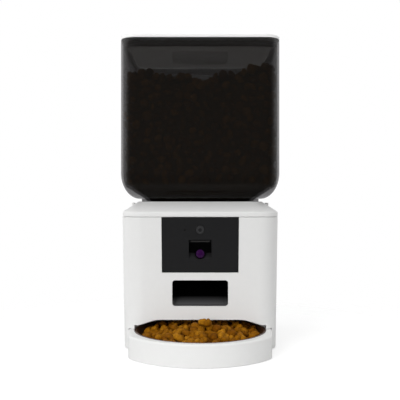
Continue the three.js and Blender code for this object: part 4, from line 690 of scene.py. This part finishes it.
def make_panel():
    """A leaning plate with a narrow joint round it, and the recess whose floor ramps out to the face."""
    half = 91.3 / 2
    through = ("Y", -70, -30)

    def leaning(name, z0, z1, front, back, reach=half):
        """A slab between two heights and two depths behind the wall's face."""
        low, high = wall_y(z0), wall_y(z1)
        section = [(low + front, z0), (low + back, z0), (high + back, z1), (high + front, z1)]
        return prism(name, section, "X", -reach, reach)

    def trimmed(name, top, front, back):
        """The same from the panel's foot, cut to its outline."""
        piece = leaning(name, PANEL_LOW_Z, top, front, back)
        boolean(piece, [prism("trim", panel_outline(PANEL_GAP, top), *FRONT_CUT)], "INTERSECT")
        return piece

    plate = trimmed("camera_fascia", SHELL_TOP_Z, 0, BASE_WALL)
    core = trimmed("core", PANEL_CORE_TOP_Z, 0.5, 3.1)
    flange = leaning("flange", PANEL_LOW_Z - 3, PANEL_CORE_TOP_Z, 2.85, 4.45, half + 3)
    face_y = wall_y(LENS_Z)
    back_y = face_y + RECESS_DEPTH
    pod_half = RECESS_HALF + 1.5
    pod = slab("pod", -pod_half, pod_half, face_y + 1.3, back_y + 1.5, 108.1, RECESS_TOP_Z + 1.5)
    boolean(plate, [core, flange, pod], "UNION")
    ramp_z = 109.6
    ramp_rise = 6.6
    ahead = 5
    recess = prism("cut_recess", [
        (face_y - ahead, ramp_z - ramp_rise * ahead / RECESS_DEPTH), (back_y, ramp_z + ramp_rise),
        (back_y, RECESS_TOP_Z), (face_y - ahead, RECESS_TOP_Z)], "X", -RECESS_HALF, RECESS_HALF)
    lens = prism("cut_lens", circle(6.3, 0, LENS_Z), *through)
    button = prism("cut_button", circle(5, 0, BUTTON_Z), *through)
    microphone = prism("cut_microphone", circle(0.9, -17.8, BUTTON_Z, 20), *through)
    boolean(plate, [recess, lens, button, microphone])
    dress(plate, "base", black_abs, "black_plastic", "camera_panel", edge=0.18)


def make_camera():
    """Lens dome, barrel with its stepped bezel, window pane with a notch for the barrel, and light bar."""
    back_y = wall_y(LENS_Z) + RECESS_DEPTH
    dome = [(0, 0), (5, 0)]
    dome += [(5 * math.cos(a), 0.9 + 1.6 * math.sin(a)) for a in np.linspace(0, math.pi / 2, 13)]
    dome[-1] = (0, 2.5)
    lens = revolve("camera_lens_dome", dome, (0, back_y - 4.3, LENS_Z), 64, "-Y")
    dress(lens, "base", coated_glass, "lens_glass", "camera_lens")
    module = copied("camera_barrel", "camera_module")
    dress(module, "base", barrel_black, "black_plastic", "camera_module", edge=0.25)
    pane = prism("camera_window_pane", flat_ring(13.15, 5.9, 0.4, 0, 122.4), "Y", back_y - 1.3, back_y - 0.3)
    boolean(pane, [prism("notch", circle(6.6, 0, LENS_Z), "Y", back_y - 6, back_y + 1)])
    dress(pane, "base", black_acrylic, "black_glass", "camera_window", edge=0.12)
    bar = prism("status_light_bar", flat_ring(11.4, 0.8, 0.3, 0, 129.9), "Y", back_y - 3.5, back_y - 0.3)
    dress(bar, "base", light_pipe, "light_pipe", "status_light", edge=0.12)


def make_button():
    """A round cap that stands 0.4 mm proud: a foot that holds it in, and a broad flat ring round a middle
    that lies 0.3 mm deeper and is as dark as the panel."""
    depth = BASE_WALL + 3.35
    back_y = wall_y(BUTTON_Z) + depth
    top = depth + 0.4
    middle = top - 0.3
    profile = filleted([
        (0, 0), (2.2, 0), (5.9, 0), (5.9, 1.2), (4.7, 1.2), (4.7, top, 0.4), (2.2, top, 0.15),
        (1.9, middle, 0.1), (0.6, middle), (0, middle)], 4)
    cap = revolve("feed_button_cap", profile, (0, back_y, BUTTON_Z), 64, "-Y")
    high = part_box("feed_button")[1]
    stem = prism("stem", circle(2.2, 0, BUTTON_Z, 32), "Y", back_y - 0.2, high[1] / MM)
    boolean(cap, [stem], "UNION")
    # The ring's lighter grey is painted light; the middle keeps the panel's colour
    dress(cap, "feed_button", button_abs_painted_light, "black_plastic", "feed_button")
    cap.data.materials.append(black_abs)
    for face in cap.data.polygons:
        if math.hypot(face.center.x / MM, face.center.z / MM - BUTTON_Z) < 2.05:
            face.material_index = 1


# Chute, tray and bowl


def make_chute():
    """A duct lofted from the level mouth under the pan to the upright sleeve in the front wall."""
    front = HOUSING_Y - 92.05
    rear = front + 3.2

    def mouth(wall):
        return rounded_ring(27.52 + wall, 17.85 + wall, 1.5 + wall, 117.7, (0, HOUSING_Y - 38.85), 8, 4)

    def sleeve(inset, y):
        ring = rounded_ring(32.55 - inset, 14.9 - inset, 3.2 - inset, 0, (0, 0), 8, 4)
        return np.column_stack([ring[:, 0], np.full(len(ring), y), OUTLET_Z - ring[:, 1]])

    rings = [mouth(2), sleeve(0, rear), sleeve(0, front), sleeve(1.2, front), sleeve(1.2, rear), mouth(0)]
    chute = loft("food_chute", rings, True)
    dress(chute, "base", chute_abs, "dark_plastic", "chute", edge=0.15)


def tray_reach(turn):
    """How far the tray's outline lies from its centre, at an angle from +X: in front the nearer of a wide
    arc and of sides that lean in a little, joined softly, and a circle inside the dock."""
    arc_radius = 96
    arc_setback = 11.7
    softness = 0.9
    ahead = np.clip(-np.sin(turn), 0, 1)
    aside = np.abs(np.cos(turn))
    arc = -arc_setback * ahead + np.sqrt(arc_radius**2 - arc_setback**2 * (1 - ahead**2))
    upright = 84.9 / np.maximum(aside, 0.01)
    leaning = 85.3 / (aside + 0.109 * ahead + 1e-6)
    past_side = (arc - np.minimum(upright, leaning)) / softness
    corner = arc - softness * np.log1p(np.exp(np.clip(past_side, -60, 60)))
    share = np.clip((np.sin(turn) + 0.05) / 0.2, 0, 1)
    share = share * share * (3 - 2 * share)
    return corner + (TRAY_RADIUS - corner) * share


def make_tray():
    """The tray's section is swept round its centre: the outer wall follows the outline, and what lies inside
    the rim's hollow stays round."""
    hollow_in, hollow_out = 78, 81.8
    profile = filleted([
        (0, 0), (61, 0), (69.6, 7.3), (hollow_in, 21.2), (hollow_in, 23.3), (hollow_out, 23.3),
        (hollow_out, 6.5), (hollow_in, 4), (hollow_in, 0), (TRAY_RADIUS, 0, 0.9),
        (TRAY_RADIUS, TRAY_HEIGHT, 2.2), (77.6, TRAY_HEIGHT, 0.3), (77.6, 23.7), (75.5, 23.7), (67.1, 8.17),
        (58.3, 2.6), (0, 2.6)], 8)
    turn = full_turn(240)
    outer = np.clip((profile[:, :1] - hollow_in) / (hollow_out - hollow_in), 0, 1)
    radius = profile[:, :1] + outer * (tray_reach(turn)[None, :] - TRAY_RADIUS)
    z = np.repeat(profile[:, 1:2], len(turn), 1)
    points = np.stack([radius * np.cos(turn), TRAY_Y + radius * np.sin(turn), z], -1)
    tray = tidy(mesh_object("dock_tray", points.reshape(-1, 3), grid_faces(len(profile), len(turn))))
    dress(tray, "tray", white_abs, "white_plastic", "tray", angle=25)


def make_bowl():
    """Turned shell with a rolled lip, sloping wall and a floor that curves into it."""
    profile = filleted([
        (0, 4.6), (58, 4.6, 8.8), (66.5, 9, 8.8), (75.2, 24), (BOWL_RIM_RADIUS, 24, 0.5),
        (BOWL_RIM_RADIUS, TRAY_HEIGHT, 0.6), (74.45, TRAY_HEIGHT, 1.8), (65, 9.75, 8.8), (57.25, 6.1, 8.8),
        (0, 6.1)], 8)
    bowl = revolve("food_bowl", profile, (0, TRAY_Y, 0), 160)
    dress(bowl, "bowl", bowl_melamine, "bowl_plastic", "bowl", angle=25)


# Kibble


def kibble(name, places, sizes, generator, around, along, fit):
    """Many nuggets in one mesh. Each is an ellipsoid grid whose radius swells by three random sine waves,
    turned at random and set at its place, with one random tone. Fit moves points that reach too far."""
    count = len(places)
    polar = np.linspace(0, math.pi, along + 1)[1:-1]
    azimuth = full_turn(around)
    unit = np.stack([
        np.outer(np.sin(polar), np.cos(azimuth)), np.outer(np.sin(polar), np.sin(azimuth)),
        np.outer(np.cos(polar), np.ones(around))], -1).reshape(-1, 3)
    unit = np.concatenate([unit, [(0, 0, 1), (0, 0, -1)]])
    waves = generator.normal(size=(count, 3, 3)) * 1.5
    phase = generator.uniform(0, 2 * math.pi, (count, 3))
    swell = 1 + 0.14 * np.sin(np.einsum("nwc,pc->nwp", waves, unit) + phase[:, :, None]).sum(1)
    stretch = generator.uniform([0.85, 0.66, 0.55], [1.25, 1.0, 0.85], (count, 3))
    local = unit[None] * swell[..., None] * stretch[:, None] * np.asarray(sizes)[:, None, None]
    q = generator.normal(size=(count, 4))
    q /= np.linalg.norm(q, axis=1, keepdims=True)
    w, x, y, z = q.T
    turn = np.stack([
        1 - 2 * (y * y + z * z), 2 * (x * y - w * z), 2 * (x * z + w * y),
        2 * (x * y + w * z), 1 - 2 * (x * x + z * z), 2 * (y * z - w * x),
        2 * (x * z - w * y), 2 * (y * z + w * x), 1 - 2 * (x * x + y * y)], -1).reshape(count, 3, 3)
    points = np.einsum("nij,npj->npi", turn, local) + np.asarray(places)[:, None]
    rows, size = along - 1, len(unit)
    quads = np.array(grid_faces(rows, around))[:, ::-1]
    ring = np.arange(around)
    top = np.stack([np.full(around, size - 2), (ring + 1) % around, ring], -1)[:, ::-1]
    low = (rows - 1) * around
    bottom = np.stack([np.full(around, size - 1), low + ring, low + (ring + 1) % around], -1)[:, ::-1]
    faces = []
    for k in range(count):
        for patch in (quads, top, bottom):
            faces += (patch + k * size).tolist()
    piece = mesh_object(name, fit(points).reshape(-1, 3), faces)
    tone = piece.data.attributes.new("tone", "FLOAT", "POINT")
    tone.data.foreach_set("value", np.repeat(generator.uniform(0, 1, count), size).astype(np.float32))
    return piece


def scattered(count, spacing, draw):
    """Of the places drawn, keeps each that lies farther than spacing from all that were kept before it."""
    kept = np.empty((0, 3))
    for place in draw(count):
        if len(kept) == 0 or np.min(np.sum((kept - place) ** 2, 1)) > spacing**2:
            kept = np.vstack([kept, place])
    return kept


def bowl_heap_height(x, y):
    """Top of the heap over the tray's axis: a crown that falls away as a cosine to the bowl's wall, a crest
    where the food lands in front of the wall, and less inside the dock, where the bowl has to lift."""
    r = np.hypot(x, y) / 72
    crown = 18 + 11 * np.cos(np.clip(r, 0, 1) * math.pi / 2) ** 0.8
    crest = 8.5 * np.exp(-((x - 8) ** 2 / 200 + (y + 20) ** 2 / 60))
    inside = np.clip((y + 14) / 8, 0, 1)
    return np.minimum(crown + crest + 3 * np.clip((y + 40) / 40, 0, 1), 38 - 10.5 * inside)


def below_the_dock(points):
    """Lowers each nugget inside the dock until its top clears the arch with the bowl lifted by its travel.
    The arch falls away by 0.308 mm for each millimetre beyond 50 from the middle."""
    travel = 5.4
    along = points[..., 1].max(1) - TRAY_Y
    aside = np.abs(points[..., 0]).max(1)
    arch = DOCK_CEILING_Z - 0.308 * np.clip(aside - 50, 0, 22)
    room = arch - travel + 14 * np.clip((-8 - along) / 6, 0, 1)
    points[..., 2] -= np.clip(points[..., 2].max(1) - room, 0, None)[:, None]
    return points


def make_bowl_kibble():
    """Nuggets in the top layer of the bowl's heap, kept within the bowl's sloping wall."""
    generator = np.random.default_rng(11)

    def draw(count):
        angle = generator.uniform(0, 2 * math.pi, count)
        radius = 70 * np.sqrt(generator.uniform(0, 1, count))
        x, y = radius * np.cos(angle), radius * np.sin(angle)
        depth = generator.uniform(0, 6, count)
        z = bowl_heap_height(x, y) - depth
        limit = 58 + (z - 6) * 0.85 - 4.5
        keep = np.hypot(x, y) < limit
        return np.stack([x, y + TRAY_Y, z], -1)[keep]

    places = scattered(14000, 6.7, draw)
    sizes = generator.uniform(4.6, 6.3, len(places))
    heap = kibble("bowl_kibble", places, sizes, generator, 10, 7, below_the_dock)
    dress(heap, "bowl", kibble_crust, "bowl_plastic", edge=None)


# The food's top along the tank's front, as (x, z)
HEAP_EDGE = [(-86, 331), (-65, 333), (-42, 326), (-22, 328), (-3, 320), (9, 321), (23, 329), (41, 327),
             (51, 331), (65, 337), (82, 340)]


def hopper_heap_height(x, y):
    """Top of the food in the tank: straight between the points of its front edge, rippled further back."""
    edge = np.interp(x, *np.transpose(HEAP_EDGE))
    back = np.clip((y + 80) / 60, 0, 1)
    return edge + back * (2 * np.sin(y / 11 + 1) - 4)


def pressed_to_tank(points):
    """Nuggets lie flat against the tank: what reaches past the wall's inner face, a rounded square that
    draws in by a quarter ellipse towards the funnel, is moved back onto it."""
    corner = 16.0
    z = points[..., 2:]
    curve_top = HOPPER_BOTTOM_Z + HOPPER_CURVE
    drop = np.clip((curve_top - z) / FUNNEL_CURVE, 0, 1)
    funnel = 1.5 * np.clip(curve_top - FUNNEL_CURVE - z, 0, 12)
    inset = HOPPER_WALL + 0.4 + FUNNEL_INSET * (1 - np.sqrt(1 - drop * drop)) + funnel
    straight = HOPPER_HALF - inset - corner
    flat = points[..., :2] - [0, HOUSING_Y]
    past = np.maximum(np.abs(flat) - straight, 0)
    reach = np.linalg.norm(past, axis=-1, keepdims=True)
    past *= np.minimum(1, corner / np.maximum(reach, corner))
    flat = np.sign(flat) * (np.minimum(np.abs(flat), straight) + past)
    return np.concatenate([flat + [0, HOUSING_Y], z], -1)


def make_hopper_kibble():
    """Nuggets along the tank's walls and over the top of the food; what lies deeper is never seen."""
    generator = np.random.default_rng(5)
    half = HOPPER_HALF - HOPPER_WALL - 6.2
    top_face = 4

    def draw(count):
        face = generator.integers(0, top_face + 1, count)
        u = generator.uniform(-half, half, count)
        v = generator.uniform(0, 1, count)
        jitter = generator.uniform(0, 3, count)
        x = np.choose(face, [u, u, -half + jitter, half - jitter, u])
        y = np.choose(face, [-half + jitter, half - jitter, u, u, generator.uniform(-half, half, count)])
        top = hopper_heap_height(x, y)
        low = 198 + 8 * np.clip((np.maximum(abs(x), abs(y)) - 80) / 8, 0, 1) ** 2
        z = np.where(face == top_face, top - jitter, low + (top - low) * v)
        keep = np.hypot(np.clip(abs(x) - half + 12, 0, None), np.clip(abs(y) - half + 12, 0, None)) < 12
        return np.stack([x, y + HOUSING_Y, z], -1)[keep]

    places = scattered(26000, 8.2, draw)
    sizes = generator.uniform(5.0, 6.6, len(places))
    heap = kibble("tank_kibble", places, sizes, generator, 8, 6, pressed_to_tank)
    dress(heap, "hopper", kibble_crust, "smoky_plastic", edge=None)


def make_heap_cores():
    """Plain brown bodies under the nuggets, so that no light shows between them."""
    wall = 8.5
    rings = [round_ring(50.5, 167), hopper_ring(31, 181.5), hopper_ring(14, 193)]
    for angle in np.linspace(0.15, math.pi / 2, 6):
        below = 1 - math.sin(angle)
        rings.append(hopper_ring(wall + 4.5 * below, 211 - 17 * below))
    rings += [hopper_ring(wall, z) for z in (250, 290)]
    for inset, cover in ((wall, 9), (30, 7), (55, 7), (80, 7)):
        ring = hopper_ring(inset, 0)
        ring[:, 2] = hopper_heap_height(ring[:, 0], ring[:, 1] - HOUSING_Y) - cover
        rings.append(ring)
    tank_core = loft("tank_kibble_core", rings, False)
    dress(tank_core, "hopper", kibble_crumb, "smoky_plastic", angle=60)
    profile = [(0, 6.6), (50, 6.6), (58, 9)]
    profile += [(r, float(bowl_heap_height(r, 0.0)) - 7) for r in np.linspace(0, 66, 12)[::-1]]
    bowl_core = revolve("bowl_kibble_core", profile, (0, TRAY_Y, 0), 64)
    dress(bowl_core, "bowl", kibble_crumb, "bowl_plastic", angle=60)


# Inner and under side


def make_small_pieces():
    """CAD copies that show from below, behind or with the tank lifted: their edges get moulding radii."""
    rows = [
        ("base_floor_plate", "base_plate", "base", white_abs, "white_plastic", 0.3),
        ("battery_hatch", "battery_door", "battery_door", white_abs, "white_plastic", 0.25),
        ("power_inlet", "dc_jack", "base", black_abs, "black_plastic", 0.15),
        ("dosing_pan", "rotor_pan", "base", dark_abs, "dark_plastic", 0.3),
        ("dosing_shutter", "metering_plate", "base", dark_abs, "dark_plastic", 0.3),
        ("dosing_vanes", "rotor_vanes", "rotor", silicone, "silicone", 0.4),
        ("food_stirrer", "stirrer", "rotor", dark_abs, "dark_plastic", 0.5),
        ("desiccant_tub", "desiccant_box", "desiccant_box", frosted_pp, "frosted_plastic", 0.3),
    ]
    for name, node, body, look, slot, radius in rows:
        piece = copied(name, node)
        dress(piece, body, look, slot, node, edge=radius)


def make_screws():
    """Screw heads with a cross recess cut into the underside."""
    shank = 1.4
    for i in range(1, 5):
        node = f"base_screw_{i}"
        low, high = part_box(node)
        x, y = ((low + high) / 2 / MM)[:2]
        bottom, top = low[2] / MM, high[2] / MM
        profile = filleted([
            (0, bottom), (3, bottom, 0.6), (3, bottom + 1.4), (shank, bottom + 1.4), (shank, top),
            (0, top)], 4)
        screw = revolve(f"housing_screw_{i}", profile, (x, y, 0), 40)
        boolean(screw, [
            slab("cut", x - across, x + across, y - along, y + along, bottom - 1, bottom + 0.9)
            for across, along in ((1.7, 0.35), (0.35, 1.7))])
        dress(screw, "base", ground_steel, "shaft_steel", node)


def dress_frame():
    """Materials of the CAD nodes that stay as they are."""
    rows = [
        (seal_silicone, "silicone", ["lid_seal"]),
        (silicone, "silicone", ["throat_seal"]),
        (ground_steel, "shaft_steel", ["rotor_shaft", "motor_shaft"]),
        (acetal, "acetal", ["shaft_bush", "rotor_gear", "drive_pinion"]),
        (drawn_steel, "motor_steel", ["gear_motor", "button_switch"]),
        (dark_abs, "dark_plastic", ["drive_bracket"]),
        (black_abs, "black_plastic", ["food_sensor_emitter", "food_sensor_receiver"]),
        (black_abs, "black_plastic", ["speaker", "battery_box"]),
        (solder_mask, "circuit_board", ["camera_board", "main_board"]),
        (rubber, "rubber", ["microphone", "foot_1", "foot_2", "foot_3", "foot_4"]),
    ]
    for look, slot, nodes in rows:
        for node in nodes:
            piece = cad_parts[node]
            piece.data.materials.clear()
            piece.data.materials.append(look)


# Stage, light and camera


def make_floor():
    """A pale floor that keeps the object's shadow and fades out into the white air. Seen by the camera it
    also glows a little, to stay as white as the background."""
    half = 900
    corners = [(-half, -half, 0), (half, -half, 0), (half, half, 0), (-half, half, 0)]
    floor = mesh_object("studio_floor", corners, [(0, 1, 2, 3)])
    material, tree, place = new_material("studio_floor_white")
    path = add(tree, "LightPath")
    glow = add(tree, "Math", {"operation": "MULTIPLY", 1: 0.55}, {0: path.outputs["Is Camera Ray"]})
    paint = add(tree, "BsdfDiffuse", {"Color": linear("#CDCDCD")})
    light = add(tree, "Emission", {"Color": linear("#FFFFFF")}, {"Strength": glow})
    both = add(tree, "AddShader", links={0: paint, 1: light})
    reach = add(tree, "VectorMath", {"operation": "LENGTH"}, {0: place}).outputs["Value"]
    fade = mapped(tree, reach, 0.2, 0.42, easing="SMOOTHSTEP")
    clear = add(tree, "BsdfTransparent")
    whole = add(tree, "MixShader", links={0: fade, 1: both, 2: clear})
    floor.data.materials.append(finished(material, whole))


def make_world():
    """Studio air: white for the camera; for the rest white behind the object and dimmer in front of it."""
    world = bpy.data.worlds.new("studio")
    bpy.context.scene.world = world
    world.use_nodes = True
    tree = world.node_tree
    tree.nodes.clear()
    path = add(tree, "LightPath")
    place = add(tree, "TexCoord").outputs["Generated"]
    split = add(tree, "SeparateXYZ", links={0: place}).outputs
    depth = mapped(tree, split["Y"], -0.7, 0.1, 0.05, 0.95, "SMOOTHSTEP")
    side = mapped(tree, split["X"], -0.8, 0.8, 0.95, 0.7)
    around = add(tree, "Math", {"operation": "MULTIPLY"}, {0: depth, 1: side})
    strength = add(tree, "Math", {"operation": "MAXIMUM"}, {0: around, 1: path.outputs["Is Camera Ray"]})
    shade = add(tree, "Background", {"Color": linear("#FFFFFF")}, {"Strength": strength})
    add(tree, "OutputWorld", links={"Surface": shade})


def softbox(name, place, width, height, power):
    """A rectangular lamp aimed at the feeder's middle. Tank and panel don't mirror it."""
    lamp = bpy.data.lights.new(name, "AREA")
    lamp.shape = "RECTANGLE"
    lamp.size, lamp.size_y, lamp.energy = width, height, power
    holder = placed(name, lamp)
    holder.location = place
    holder.visible_glossy = False
    holder.rotation_euler = (Vector((0, 0, 0.2)) - Vector(place)).to_track_quat("-Z", "Y").to_euler()


def make_camera_view():
    """The photograph's view: level, 833 mm in front of the frame's origin and 178.6 mm up."""
    lens = bpy.data.cameras.new("photo_camera")
    lens.lens = 59.58
    lens.sensor_width = 36
    lens.clip_start, lens.clip_end = 0.05, 50
    camera = placed("photo_camera", lens)
    camera.location = (-0.0002, -0.8329, 0.1786)
    camera.rotation_euler = (math.pi / 2, 0, 0)
    bpy.context.scene.camera = camera


make_camera_view()
make_floor()
make_world()
softbox("key_left", (-0.9, -1.5, 0.7), 1.0, 1.2, 22)
softbox("fill_right", (1.3, -1.5, 0.5), 1.2, 1.2, 12)
softbox("top", (0, -0.25, 1.7), 1.4, 1.2, 4)

make_base_shell()
make_top_cover()
make_latches()
make_hopper()
make_lid()
make_panel()
make_camera()
make_button()
make_chute()
make_tray()
make_bowl()
make_bowl_kibble()
make_hopper_kibble()
make_heap_cores()
make_small_pieces()
make_screws()
dress_frame()

bpy.context.scene.view_settings.view_transform = "Standard"
